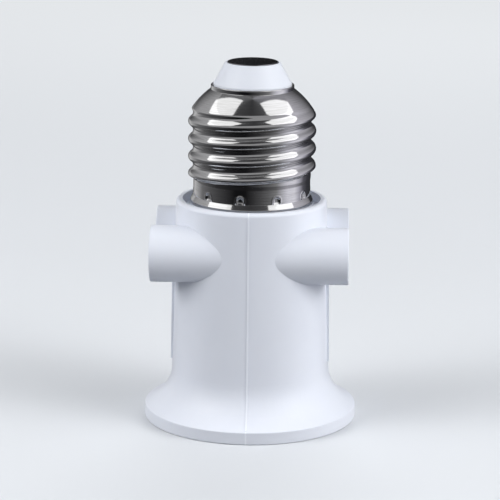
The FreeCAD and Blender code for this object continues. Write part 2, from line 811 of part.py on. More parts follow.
def make_carrier():
    """The moulded block that carries the bars, with the barrier that stands between them."""
    body = new_body("contact_carrier")
    disc = new_sketch(body, "Disc_outline", "XY_Plane", CARRIER_SEAT)
    circle(disc, 0, 0, CARRIER)
    extrude(body, "Disc", disc, cell("carrier_thickness"))

    reach = SCREW - cell("boss_radius") - cell("barrier_gap")
    wall = new_sketch(body, "Barrier_outline", "XY_Plane", BAR_SEAT)
    rectangle(wall, -reach, reach, -cell("barrier_half"), cell("barrier_half"))
    extrude(body, "Barrier", wall, ROOF - cell("barrier_gap") - BAR_SEAT)

    seats = new_sketch(body, "BarSeats_outline", "XY_Plane", BAR_SEAT)
    for side in (1, -1):
        bar_outline(seats, side, cell("bar_gap"))
    add_feature(body, "Pocket", "BarSeats", Profile=seats, Reversed=True,
                Length=cell("bar_thickness") + cell("bar_gap"))

    wells = new_sketch(body, "RivetWells_outline", "XY_Plane", BAR_SEAT)
    for x_side in (1, -1):
        for y_side in (1, -1):
            circle(wells, CLIP_MIDDLE * x_side, CLIP_RIVET * y_side,
                   cell("clip_rivet_head_radius") + cell("relief_gap"))
    add_feature(body, "Pocket", "RivetWells", Profile=wells,
                Length=cell("clip_rivet_head") + cell("slot_gap"))

    half = cell("strap_width") / 2 + cell("slot_gap")
    slots = new_sketch(body, "StrapSlots_outline", "XY_Plane", CARRIER_SEAT)
    reliefs = new_sketch(body, "Reliefs_outline", "XY_Plane", CARRIER_SEAT)
    near = STRAP_INNER - cell("slot_gap")
    far = SHELL_RIVET + cell("strap_end") + cell("slot_gap")
    for side in (1, -1):
        rectangle(slots, -half, half, near * side, (BAR_INNER + cell("slot_gap")) * side)
        rectangle(reliefs, -half, half, near * side, far * side)
    add_feature(body, "Pocket", "StrapSlots", Profile=slots, Reversed=True,
                Length=cell("carrier_thickness"))
    add_feature(body, "Pocket", "Reliefs", Profile=reliefs, Reversed=True,
                Length=cell("strap_thickness") + cell("socket_rivet_head") + cell("slot_gap"))

    holes = new_sketch(body, "ScrewHoles_outline", "XY_Plane", CARRIER_SEAT)
    for side in (1, -1):
        circle(holes, SCREW * side, 0, cell("screw_radius") + cell("screw_hole_gap"))
    add_feature(body, "Pocket", "ScrewHoles", Profile=holes, Reversed=True,
                Length=cell("carrier_thickness"))
    return body


def bar_outline(sketch, side, gap):
    """Draw a bar's plan on one side of the axis, grown by the gap."""
    reach = CLIP_END + gap
    inner = (BAR_INNER - gap) * side
    outer = (BAR_OUTER + gap) * side
    shoulder = (BAR_OUTER + gap - cell("bar_chamfer")) * side
    short = reach - cell("bar_chamfer")
    outline(sketch, [(-reach, inner), (reach, inner), (reach, shoulder),
                     (short, outer), (-short, outer), (-reach, shoulder)])


def make_bar(label, side):
    """One brass bar that joins the clips of a pole on both sides of the holder."""
    body = new_body(label)
    plan = new_sketch(body, "Bar_outline", "XY_Plane", BAR_SEAT)
    bar_outline(plan, side, Size.of(0))
    for x_side in (1, -1):
        circle(plan, CLIP_MIDDLE * x_side, CLIP_RIVET * side,
               cell("clip_rivet_radius") + cell("rivet_gap"))
    extrude(body, "Bar", plan, cell("bar_thickness"))
    return body


def make_clip(label, x_side, y_side):
    """One spring clip: a slit sleeve for the plug's pin on a foot that is riveted down."""
    body = new_body(label)
    start = cell("clip_start") if x_side > 0 else -CLIP_END
    length = CLIP_END - cell("clip_start")
    middle = PIN * y_side

    ring = new_sketch(body, "Sleeve_outline", "YZ_Plane", start)
    circle(ring, middle, OUTLET, SLEEVE)
    circle(ring, middle, OUTLET, cell("clip_bore_radius"))
    extrude(body, "Sleeve", ring, length)

    slit = new_sketch(body, "Slit_outline", "YZ_Plane", start)
    half = cell("clip_slit") / 2
    rectangle(slit, middle - half, middle + half, OUTLET + cell("clip_bore_radius") / 2,
              OUTLET + SLEEVE + cell("clip_wall"))
    add_feature(body, "Pocket", "Slit", Profile=slit, Reversed=True, Length=length)

    foot = new_sketch(body, "Foot_outline", "XY_Plane", DECK)
    rectangle(foot, start, start + length, BAR_INNER * y_side,
              (PIN + cell("clip_foot_reach")) * y_side)
    circle(foot, CLIP_MIDDLE * x_side, CLIP_RIVET * y_side,
           cell("clip_rivet_radius") + cell("rivet_gap"))
    extrude(body, "Foot", foot, cell("clip_wall"))
    return body


def rivet_points(low_head, low_face, high_face, high_head, head_radius, shank_radius):
    """The half section of a rivet with a head at each end, from its axis out."""
    return [
        (0, low_head),
        (head_radius, low_head),
        (head_radius, low_face),
        (shank_radius, low_face),
        (shank_radius, high_face),
        (head_radius, high_face),
        (head_radius, high_head),
        (0, high_head),
    ]


def rivet_solid(points, x, y):
    """Turn a rivet's half section about an upright line at x, y."""
    corners = [Vector(x.value + Size.of(r).value, y.value, z.value) for r, z in points]
    wire = Part.makePolygon(corners + corners[:1])
    return Part.Face(wire).revolve(Vector(x.value, y.value, 0), Vector(0, 0, 1), FULL_TURN)


def make_clip_rivets():
    """The four rivets that hold the clips to the bars, as separate solids of one node."""
    head = cell("clip_rivet_head")
    points = rivet_points(BAR_SEAT - head, BAR_SEAT, DECK + cell("clip_wall"),
                          DECK + cell("clip_wall") + head,
                          cell("clip_rivet_head_radius"), cell("clip_rivet_radius"))
    group = doc.addObject("Part::Feature", "clip_rivets")
    group.Label = "clip_rivets"
    group.Shape = Part.makeCompound([
        rivet_solid(points, CLIP_MIDDLE * x_side, CLIP_RIVET * y_side)
        for x_side in (1, -1) for y_side in (1, -1)])
    group.Placement = FreeCAD.Placement(Vector(0, 0, 0), Rotation())
    return group


def make_strap(label, side, far_hole):
    """A bent strap from a rivet on the socket base up to the top of a bar."""
    body = new_body(label)
    foot_end = (far_hole + cell("strap_end")) * side
    inner = STRAP_INNER * side
    outer = STRAP_OUTER * side
    tab_end = (CLIP_RIVET + cell("lead_radius")) * side
    foot_top = CARRIER_SEAT + cell("strap_thickness")
    tab_top = DECK + cell("strap_thickness")
    bent = new_sketch(body, "Strap_outline", "YZ_Plane")
    outline(bent, [
        (foot_end, CARRIER_SEAT),
        (inner, CARRIER_SEAT),
        (inner, tab_top),
        (tab_end, tab_top),
        (tab_end, DECK),
        (outer, DECK),
        (outer, foot_top),
        (foot_end, foot_top),
    ])
    both_ways(body, "Pad", "Strap", bent, cell("strap_width"))
    hole = new_sketch(body, "RivetHole_outline", "XY_Plane", CARRIER_SEAT)
    circle(hole, 0, far_hole * side, cell("socket_rivet_radius") + cell("rivet_gap"))
    add_feature(body, "Pocket", "RivetHole", Profile=hole, Reversed=True,
                Length=cell("strap_thickness"))
    return body


def make_socket_base():
    """The insulating disc that carries the socket shell and the centre tongue."""
    body = new_body("socket_base")
    platform = SOCKET_FLANGE - cell("platform_gap")
    revolve(body, "Disc", [
        (0, PLATFORM_FACE),
        (platform, PLATFORM_FACE),
        (platform, BASE_FACE),
        (BASE, BASE_FACE),
        (BASE, CARRIER_SEAT),
        (0, CARRIER_SEAT),
    ])
    holes = new_sketch(body, "Holes_outline", "XY_Plane", PLATFORM_FACE)
    rivet = cell("socket_rivet_radius") + cell("rivet_gap")
    circle(holes, 0, TONGUE_RIVET, rivet)
    for side in (1, -1):
        circle(holes, 0, SHELL_RIVET * side, rivet)
        circle(holes, SCREW * side, 0, cell("screw_radius") + cell("screw_hole_gap"))
    add_feature(body, "Pocket", "Holes", Profile=holes, Reversed=True,
                Length=cell("base_thickness") + cell("platform_height"))
    heads = new_sketch(body, "HeadSeats_outline", "XY_Plane", PLATFORM_FACE)
    for side in (1, -1):
        circle(heads, SCREW * side, 0, cell("screw_head_radius") + cell("screw_head_gap"))
    add_feature(body, "Pocket", "HeadSeats", Profile=heads, Reversed=True,
                Length=cell("screw_head"))
    return body


def make_socket_shell():
    """The rolled socket shell: a threaded sleeve with an inturned flange riveted to the base."""
    body = new_body("socket_shell")
    foot = cell("mouth_depth")
    flange_face = BASE_FACE - cell("socket_wall")
    revolve(body, "Blank", [
        (SOCKET_CREST, foot),
        (SOCKET_OUTER, foot),
        (SOCKET_OUTER, BASE_FACE),
        (SOCKET_FLANGE, BASE_FACE),
        (SOCKET_FLANGE, flange_face),
        (SOCKET_CREST, flange_face),
    ])

    section = new_sketch(body, "Groove_outline", "XZ_Plane")
    outline(section, ridge_points(SOCKET_GROOVE, foot))
    add_feature(body, "SubtractiveHelix", "Thread", Profile=section,
                ReferenceAxis=(section, ["V_Axis"]), Mode=0, Pitch=cell("thread_pitch"),
                Height=flange_face - cell("ridge_foot_half") - cell("ridge_crest_half") - foot)

    entry = foot + cell("socket_entry")
    leave = flange_face - cell("socket_exit")
    inside = SOCKET_CREST - cell("thread_depth")
    fade = SOCKET_GROOVE - inside
    groove(body, "EntryAndExit", [
        (inside, foot),
        (SOCKET_GROOVE, foot),
        (SOCKET_GROOVE, entry),
        (inside, entry + fade),
    ], [
        (inside, leave - fade),
        (SOCKET_GROOVE, leave),
        (SOCKET_GROOVE, flange_face),
        (inside, flange_face),
    ])

    holes = new_sketch(body, "RivetHoles_outline", "XY_Plane", flange_face)
    for side in (1, -1):
        circle(holes, 0, SHELL_RIVET * side,
               cell("socket_rivet_radius") + cell("rivet_gap"))
    add_feature(body, "Pocket", "RivetHoles", Profile=holes, Reversed=True,
                Length=cell("socket_wall"))
    return body


def make_tongue():
    """The centre tongue: a foot riveted to the platform and a sprung crown on the axis."""
    body = new_body("centre_tongue")
    thick = cell("tongue_thickness")
    face = PLATFORM_FACE
    heel = TONGUE_RIVET + cell("tongue_heel")
    bend = TONGUE_RIVET - cell("tongue_heel")
    crown = cell("tongue_crown")
    toe = cell("tongue_toe")
    low = face - cell("tongue_drop")
    lift = low + cell("tongue_toe_lift")
    strip = new_sketch(body, "Tongue_outline", "YZ_Plane")
    outline(strip, [
        (heel, face),
        (bend, face),
        (crown, low + thick),
        (-crown, low + thick),
        (-toe, lift + thick),
        (-toe, lift),
        (-crown, low),
        (crown, low),
        (bend, face - thick),
        (heel, face - thick),
    ])
    both_ways(body, "Pad", "Tongue", strip, cell("tongue_width"))
    hole = new_sketch(body, "RivetHole_outline", "XY_Plane", face)
    circle(hole, 0, TONGUE_RIVET,
           cell("socket_rivet_radius") + cell("rivet_gap"))
    add_feature(body, "Pocket", "RivetHole", Profile=hole, Length=thick)
    return body


def make_tongue_rivet():
    """The rivet through tongue, base and line strap."""
    body = new_body("tongue_rivet")
    head = cell("socket_rivet_head")
    low = PLATFORM_FACE - cell("tongue_thickness")
    high = CARRIER_SEAT + cell("strap_thickness")
    turned_beside(body, "Rivet", TONGUE_RIVET,
                  rivet_points(low - head, low, high, high + head,
                               cell("tongue_rivet_head_radius"), cell("socket_rivet_radius")))
    return body


def make_shell_rivets():
    """The two rivets through the shell's flange; the longer one also takes the neutral strap."""
    head = cell("socket_rivet_head")
    low = BASE_FACE - cell("socket_wall")
    solids = []
    for side, high in ((1, CARRIER_SEAT), (-1, CARRIER_SEAT + cell("strap_thickness"))):
        points = rivet_points(low - head, low, high, high + head,
                              cell("shell_rivet_head_radius"), cell("socket_rivet_radius"))
        solids.append(rivet_solid(points, Size.of(0), SHELL_RIVET * side))
    group = doc.addObject("Part::Feature", "shell_rivets")
    group.Label = "shell_rivets"
    group.Shape = Part.makeCompound(solids)
    group.Placement = FreeCAD.Placement(Vector(0, 0, 0), Rotation())
    return group


def make_base_screws():
    """The two screws that draw base and carrier up against the housing's bosses."""
    head_radius = cell("screw_head_radius")
    shank = cell("screw_radius")
    point = cell("screw_point")
    seat = PLATFORM_FACE + cell("screw_head")
    tip = ROOF - cell("boss_roof_gap") - cell("screw_end_gap")
    slot_length = cell("screw_slot_length").value
    slot_width = cell("screw_slot").value
    solids = []
    for side in (1, -1):
        x = SCREW * side
        points = [(0, PLATFORM_FACE), (head_radius, PLATFORM_FACE), (head_radius, seat),
                  (shank, seat), (shank, tip - point), (shank - point, tip), (0, tip)]
        screw = rivet_solid(points, x, Size.of(0))
        for angle in (0, 90):
            slot = Part.makeBox(slot_length, slot_width, cell("screw_slot_depth").value,
                                Vector(-slot_length / 2, -slot_width / 2, 0))
            slot.rotate(Vector(0, 0, 0), Vector(0, 0, 1), angle)
            slot.translate(Vector(x.value, 0, PLATFORM_FACE.value))
            screw = screw.cut(slot)
        solids.append(screw)
    group = doc.addObject("Part::Feature", "base_screws")
    group.Label = "base_screws"
    group.Shape = Part.makeCompound(solids)
    group.Placement = FreeCAD.Placement(Vector(0, 0, 0), Rotation())
    return group


def rounded_path(points, radii):
    """A wire of straight runs with a tangent arc at each inner point."""
    edges = []
    last = points[0]
    for before, corner, after, radius in zip(points, points[1:], points[2:], radii):
        into = (corner - before).normalize()
        out = (after - corner).normalize()
        turn = into.getAngle(out)
        cut = radius * math.tan(turn / 2)
        start = corner - into * cut
        stop = corner + out * cut
        middle_way = (out - into).normalize()
        middle = corner + middle_way * (radius / math.cos(turn / 2) - radius)
        edges.append(Part.LineSegment(last, start).toShape())
        edges.append(Part.Arc(start, middle, stop).toShape())
        last = stop
    edges.append(Part.LineSegment(last, points[-1]).toShape())
    return Part.Wire(edges)


def make_lead(label, points, radii):
    """A lead of round section swept along its path."""
    path = rounded_path(points, radii)
    radius = cell("lead_radius").value
    section = Part.Wire(Part.makeCircle(radius, points[0], points[1] - points[0]))
    lead = doc.addObject("Part::Feature", label)
    lead.Label = label
    lead.Shape = path.makePipeShell([section], True, False)
    lead.Placement = FreeCAD.Placement(Vector(0, 0, 0), Rotation())
    expected = math.pi * radius ** 2 * path.Length
    if abs(lead.Shape.Volume - expected) > LEAD_VOLUME_TOLERANCE * expected:
        raise ValueError(f"{label} has volume {lead.Shape.Volume:.3f}, not {expected:.3f}")
    return lead


def make_line_lead():
    """From the line strap's tab up through roof and neck into the contact's stem."""
    start = DECK.value + cell("strap_thickness").value
    beside = CLIP_RIVET.value
    bend_low = RECESS_FLOOR.value + cell("lead_cross_height").value
    bend_high = INSULATOR_FOOT.value - cell("lead_cross_height").value
    end = INSULATOR_FOOT.value + cell("lead_end_height").value
    points = [Vector(0, beside, start), Vector(0, beside, bend_low),
              Vector(0, 0, bend_high), Vector(0, 0, end)]
    radius = cell("lead_bend_radius").value
    return make_lead("line_lead", points, [radius, radius])


def make_neutral_lead():
    """From the neutral strap's tab up the neck and out through its notch to the shell."""
    start = DECK.value + cell("strap_thickness").value
    beside = -CLIP_RIVET.value
    level = NECK_TOP.value - cell("lead_radius").value - cell("lead_gap").value
    end = -(SKIRT_BORE.value - cell("lead_end_gap").value)
    points = [Vector(0, beside, start), Vector(0, beside, level), Vector(0, end, level)]
    return make_lead("neutral_lead", points, [cell("lead_turn_radius").value])


def make_all():
    """Every node of the holder, from the housing inwards."""
    nodes = [make_housing(), make_cap_shell(), make_cap_insulator(), make_cap_contact(),
             make_carrier(), make_bar("line_bar", 1), make_bar("neutral_bar", -1)]
    for x_name, x_side in (("left", -1), ("right", 1)):
        for y_name, y_side in (("line", 1), ("neutral", -1)):
            nodes.append(make_clip(f"{x_name}_{y_name}_clip", x_side, y_side))
    nodes += [
        make_clip_rivets(),
        make_strap("line_strap", 1, TONGUE_RIVET),
        make_strap("neutral_strap", -1, SHELL_RIVET),
        make_socket_base(), make_socket_shell(), make_tongue(), make_tongue_rivet(),
        make_shell_rivets(), make_base_screws(), make_line_lead(), make_neutral_lead(),
    ]
    return nodes


def check_document(nodes):
    """Stop if any object failed, any node has no valid shape or any body fell apart."""
    for item in doc.Objects:
        if "Invalid" in item.State or "Error" in item.State:
            raise ValueError(f"{item.Label} failed: {item.State}")
    for node in nodes:
        if node.Shape.isNull() or not node.Shape.isValid():
            raise ValueError(f"{node.Label} has no valid shape")
        if node.TypeId == "PartDesign::Body" and len(node.Shape.Solids) != 1:
            raise ValueError(f"{node.Label} is in {len(node.Shape.Solids)} pieces")


def export_nodes(nodes):
    """Write each node's shape to a file of its own name."""
    os.makedirs("parts", exist_ok=True)
    for node in nodes:
        node.Shape.exportStep(f"parts/{node.Label}.step")
        print(f"{node.Label}: {len(node.Shape.Solids)} solid, {node.Shape.Volume:.2f} mm3")


ALL_NODES = make_all()
doc.recompute()
check_document(ALL_NODES)
export_nodes(ALL_NODES)
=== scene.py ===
import json
import logging
import math
from dataclasses import dataclass, field
from enum import Enum

import bmesh
import bpy
import numpy as np
from mathutils import Matrix, Vector


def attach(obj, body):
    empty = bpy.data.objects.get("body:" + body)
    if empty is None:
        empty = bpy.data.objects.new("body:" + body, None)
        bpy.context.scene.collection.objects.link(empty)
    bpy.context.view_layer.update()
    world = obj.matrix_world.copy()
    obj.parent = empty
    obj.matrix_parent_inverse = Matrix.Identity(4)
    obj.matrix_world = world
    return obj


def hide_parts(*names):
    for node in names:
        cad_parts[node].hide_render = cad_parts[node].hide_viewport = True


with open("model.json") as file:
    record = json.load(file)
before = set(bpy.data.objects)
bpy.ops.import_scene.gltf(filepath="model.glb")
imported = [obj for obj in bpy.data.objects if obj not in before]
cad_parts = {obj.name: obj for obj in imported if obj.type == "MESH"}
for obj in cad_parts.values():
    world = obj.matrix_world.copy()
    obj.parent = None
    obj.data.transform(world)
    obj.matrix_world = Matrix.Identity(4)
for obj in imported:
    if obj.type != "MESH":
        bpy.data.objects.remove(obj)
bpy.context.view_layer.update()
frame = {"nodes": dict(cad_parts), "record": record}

BODY = "root"
MM = 0.001
WELD_GAP = 1e-7
ARC_POINTS = 5

Tree = bpy.types.NodeTree
Node = bpy.types.Node
Socket = bpy.types.NodeSocket
Material = bpy.types.Material
Piece = bpy.types.Object
Pair = tuple[float, float]
Place = tuple[float, float, float]
Colour = tuple[float, float, float, float]
Tones = tuple[tuple[float, str], ...]
Grids = tuple[np.ndarray, np.ndarray]

log = logging.getLogger("lamp_holder")


class Slot(Enum):
    """The record's material slots."""

    WHITE_PLASTIC = "white_plastic"
    INSULATOR_PLASTIC = "insulator_plastic"
    NICKEL_PLATE = "nickel_plate"
    CONTACT_PLATE = "contact_plate"
    CONTACT_BRASS = "contact_brass"
    RIVET_BRASS = "rivet_brass"
    BASE_PLASTIC = "base_plastic"
    SCREW_STEEL = "screw_steel"
    LEAD_INSULATION = "lead_insulation"


def linear(code: str) -> Colour:
    """Turn an sRGB hex colour into linear red, green, blue and alpha.

    Each channel c is c / 12.92 below 0.04045 and ((c + 0.055) / 1.055) ** 2.4 above.

    Args:
        code: The colour, such as "#E4E9EE".

    Returns:
        The linear colour with an alpha of 1.
    """
    channels = np.array([int(code[i:i + 2], 16) for i in (1, 3, 5)]) / 255
    values = np.where(channels <= 0.04045, channels / 12.92,
                      ((channels + 0.055) / 1.055) ** 2.4)
    return (*values.tolist(), 1.0)


def add_node(tree: Tree, kind: str, feeds: dict | None = None,
             **settings: object) -> Node:
    """Add one shader node with its settings, values and links.

    Args:
        tree: The node tree that gets the node.
        kind: The node's type without its ShaderNode prefix.
        feeds: Input name or number to a value, or to what drives it: a socket, or a
            node by its first output.
        settings: Properties of the node itself.

    Returns:
        The new node.
    """
    made = tree.nodes.new(f"ShaderNode{kind}")
    for name, value in settings.items():
        setattr(made, name, value)
    for key, value in (feeds or {}).items():
        if isinstance(value, Node):
            tree.links.new(value.outputs[0], made.inputs[key])
        elif isinstance(value, Socket):
            tree.links.new(value, made.inputs[key])
        else:
            made.inputs[key].default_value = value
    return made


def per_mm(size: float) -> float:
    """Noise scale on Object coordinates for spots of this size in millimetres."""
    return 1 / (size * MM)


def noise(tree: Tree, place: Socket, size: float, detail: float,
          roughness: float = 0.5, distortion: float = 0.0) -> Node:
    """Add noise with spots of a size in millimetres, on coordinates in metres."""
    layers = {"Detail": detail, "Roughness": roughness, "Distortion": distortion}
    return add_node(tree, "TexNoise", {"Vector": place, "Scale": per_mm(size), **layers})


def mapped(tree: Tree, value: Node | Socket, low: float, high: float, first: float = 0.0,
           last: float = 1.0, curve: str = "LINEAR") -> Node:
    """Map the range from low to high onto the one from first to last."""
    ends = {"From Min": low, "From Max": high, "To Min": first, "To Max": last}
    return add_node(tree, "MapRange", {"Value": value, **ends}, interpolation_type=curve)


def maths(tree: Tree, operation: str, *values: object) -> Node:
    """Add one operation on one or two numbers."""
    return add_node(tree, "Math", dict(enumerate(values)), operation=operation)


def mixed(tree: Tree, share: Node | Socket, first: Colour | Socket,
          second: Colour) -> Socket:
    """Mix two colours by a share from 0 to 1, on the Mix node's numbered sockets."""
    return add_node(tree, "Mix", {0: share, 6: first, 7: second},
                    data_type="RGBA").outputs[2]


@dataclass(frozen=True)
class Finish:
    """A real material with the process that it went through."""

    name: str

    def surface(self, tree: Tree, place: Socket) -> Node:
        """Build the surface's nodes.

        Args:
            tree: The material's node tree.
            place: The Object coordinates.

        Returns:
            The shader.
        """
        raise NotImplementedError

    def material(self) -> Material:
        """Put the surface on a bare node tree.

        Returns:
            The finished material.
        """
        material = bpy.data.materials.new(self.name)
        material.use_nodes = True
        tree = material.node_tree
        tree.nodes.clear()
        place = add_node(tree, "TexCoord").outputs["Object"]
        add_node(tree, "OutputMaterial", {"Surface": self.surface(tree, place)})
        return material


@dataclass(frozen=True)
class MouldedPlastic(Finish):
    """Injection moulded thermoplastic, straight from a polished steel mould."""

    colour: str
    shade: str
    roughness: float = 0.34
    ior: float = 1.5
    flow_band: float = 9.0
    ripple: float = 2.6
    ripple_depth: float = 0.004
    glow: float = 0.05
    glow_depth: float = 1.2
    seam_flash_and_highlight: str = ""
    seam_width: float = 0.36

    def surface(self, tree: Tree, place: Socket) -> Node:
        """Build the surface's nodes.

        The melt's flow gives cloudy bands, 9 mm wide, between two close shades of the
        colour. The mould's polish leaves a low ripple that bends reflections, and the
        gloss varies with it. A little light goes into the resin, which softens the
        shadow edges. Where the mould halves meet, in the plane x = 0, a paler line is
        painted: partly the tone of the scraped flash, partly a painted highlight for
        the light that the raised line catches.

        Args:
            tree: The material's node tree.
            place: The Object coordinates.

        Returns:
            The shader.
        """
        flow = noise(tree, place, self.flow_band, 2.0, 0.55, 0.6)
        tint = mixed(tree, flow, linear(self.colour), linear(self.shade))
        if self.seam_flash_and_highlight:
            across = add_node(tree, "SeparateXYZ", {"Vector": place})
            off = maths(tree, "ABSOLUTE", across.outputs["X"])
            half = self.seam_width / 2 * MM
            # Painted highlight: a paler line along the mould seam, partly the scraped
            # flash's own tone, partly the light that the raised line catches.
            line = mapped(tree, off, 0.5 * half, 1.2 * half, 1.0, 0.0, "SMOOTHSTEP")
            tint = mixed(tree, line, tint, linear(self.seam_flash_and_highlight))
        polish = noise(tree, place, self.ripple, 1.0, 0.4)
        gloss = mapped(tree, polish, 0.3, 0.7,
                       self.roughness - 0.03, self.roughness + 0.04)
        relief = add_node(tree, "Bump", {
            "Height": polish, "Strength": 0.3, "Distance": self.ripple_depth * MM})
        return add_node(tree, "BsdfPrincipled", {
            "Base Color": tint, "Roughness": gloss, "Normal": relief, "IOR": self.ior,
            "Subsurface Weight": self.glow, "Subsurface Radius": (1.0, 0.9, 0.8),
            "Subsurface Scale": self.glow_depth * MM})


@dataclass(frozen=True)
class PlatedSheet(Finish):
    """Rolled sheet brass with a bright nickel plate, screwed in and out a few times."""

    colour: str
    worn: str
    roughness: float = 0.06
    streak: float = 0.16
    streak_length: float = 7.0
    spot: float = 2.0
    wave: float = 3.5

    def surface(self, tree: Tree, place: Socket) -> Node:
        """Build the surface's nodes.

        The piece's own UV map runs round it and along its profile in metres. Streaks of
        0.16 mm by 7 mm along the turning direction come from the rolls and from other
        threads; they are drawn coarser than real ones so that they show. A faint wave of
        the thin sheet, 3.5 mm long, bends the reflections, and spots of 2 mm are duller.

        Args:
            tree: The material's node tree.
            place: The Object coordinates.

        Returns:
            The shader.
        """
        stretched = add_node(tree, "Mapping", {
            "Vector": add_node(tree, "UVMap", uv_map="Turned"),
            "Scale": (per_mm(self.streak_length), per_mm(self.streak), 1.0)})
        streaks = add_node(tree, "TexNoise", {
            "Vector": stretched, "Scale": 1.0, "Detail": 4.0, "Roughness": 0.65})
        spots = noise(tree, place, self.spot, 3.0, 0.6)
        wave = noise(tree, place, self.wave, 1.0)
        rubbed = mapped(tree, streaks, 0.42, 0.78)
        tint = mixed(tree, rubbed, linear(self.colour), linear(self.worn))
        duller = maths(tree, "MULTIPLY", spots, rubbed)
        gloss = mapped(tree, duller, 0.0, 0.6, self.roughness, self.roughness + 0.12)
        dents = add_node(tree, "Bump", {
            "Height": wave, "Strength": 0.5, "Distance": 0.02 * MM})
        grain = add_node(tree, "Bump", {
            "Height": streaks, "Strength": 0.25, "Distance": 0.003 * MM, "Normal": dents})
        return add_node(tree, "BsdfPrincipled", {
            "Base Color": tint, "Metallic": 1.0, "Roughness": gloss, "Normal": grain})


@dataclass(frozen=True)
class StampedMetal(Finish):
    """Bare or thinly plated metal, stamped or headed, with the dies' fine scuffs."""

    colour: str
    stain: str
    roughness: float
    stain_size: float = 2.5
    scuff: float = 0.12

    def surface(self, tree: Tree, place: Socket) -> Node:
        """Build the surface's nodes.

        Handling stains of a few millimetres mix a darker tone in, and scuffs a tenth of
        a millimetre wide roughen the gloss and lift the surface a few thousandths.

        Args:
            tree: The material's node tree.
            place: The Object coordinates.

        Returns:
            The shader.
        """
        stains = noise(tree, place, self.stain_size, 4.0, 0.6)
        toned = mapped(tree, stains, 0.4, 0.75)
        tint = mixed(tree, toned, linear(self.colour), linear(self.stain))
        scuffs = noise(tree, place, self.scuff, 2.0, 0.7)
        gloss = mapped(tree, scuffs, 0.3, 0.7,
                       self.roughness - 0.05, self.roughness + 0.09)
        relief = add_node(tree, "Bump", {
            "Height": scuffs, "Strength": 0.3, "Distance": 0.004 * MM})
        return add_node(tree, "BsdfPrincipled", {
            "Base Color": tint, "Metallic": 1.0, "Roughness": gloss, "Normal": relief})


@dataclass(frozen=True)
class PaperSweep(Finish):
    """Pale matt studio paper for the floor and the backdrop."""

    colour: str
    bounce: str
    far: str
    fibre: float = 0.5
    fade: Pair = (0.12, 0.75)

    def surface(self, tree: Tree, place: Socket) -> Node:
        """Build the surface's nodes.

        Paper fibres half a millimetre long give a faint tooth. Near the object the
        paper is lit and keeps its shadow, and further out it turns into one even pale
        colour. Light that bounces from it to matt surfaces comes from a darker tone.

        Args:
            tree: The material's node tree.
            place: The Object coordinates.

        Returns:
            The shader.
        """
        rays = add_node(tree, "LightPath").outputs
        direct = maths(tree, "MAXIMUM", rays["Is Camera Ray"], rays["Is Glossy Ray"])
        seen = maths(tree, "MAXIMUM", direct, rays["Is Transmission Ray"])
        tone = mixed(tree, seen, linear(self.bounce), linear(self.colour))
        relief = add_node(tree, "Bump", {
            "Height": noise(tree, place, self.fibre, 2.0), "Strength": 0.1,
            "Distance": 0.02 * MM})
        paper = add_node(tree, "BsdfPrincipled", {
            "Base Color": tone, "Roughness": 0.85, "Specular IOR Level": 0.15,
            "Normal": relief})
        away = add_node(tree, "VectorMath", {0: place}, operation="LENGTH")
        share = mapped(tree, away.outputs["Value"], *self.fade, curve="SMOOTHSTEP")
        plain = maths(tree, "MULTIPLY", share, seen)
        even = add_node(tree, "Emission", {"Color": linear(self.far), "Strength": 1.0})
        return add_node(tree, "MixShader", {0: plain, 1: paper, 2: even})


@dataclass(frozen=True)
class ToneBand(Finish):
    """Glowing band that only reflections see; its tone changes round the set and paints
    the metal's reflections.
    """

    tones: Tones

    def surface(self, tree: Tree, place: Socket) -> Node:
        """Build the surface's nodes.

        Each tone stands at an azimuth in degrees, 0 towards the camera and 90 towards
        +X, and the colour changes evenly from one to the next, so that the chrome shows
        soft upright bands of painted reflection. The azimuth of a point (x, y) is the
        arc tangent of x / -y. The tone is given off as light, so that no lamp changes it:
        the band glows, though it is no lamp.

        Args:
            tree: The material's node tree.
            place: The Object coordinates.

        Returns:
            The shader.
        """
        part = add_node(tree, "SeparateXYZ", {"Vector": place}).outputs
        ahead = maths(tree, "MULTIPLY", part["Y"], -1.0)
        angle = maths(tree, "ARCTAN2", part["X"], ahead)
        ramp = add_node(tree, "ValToRGB", {"Fac": mapped(tree, angle, -math.pi, math.pi)})
        stops = ramp.color_ramp.elements
        for number, (azimuth, tone) in enumerate(self.tones):
            # A ramp starts with two stops, so only the others are added.
            spot = (azimuth + 180) / 360
            stop = stops[number] if number < 2 else stops.new(spot)
            stop.position = spot
            stop.color = linear(tone)
        # Painted reflection: the band's tone glows and is seen only in the metal.
        return add_node(tree, "Emission", {"Color": ramp, "Strength": 1.0})


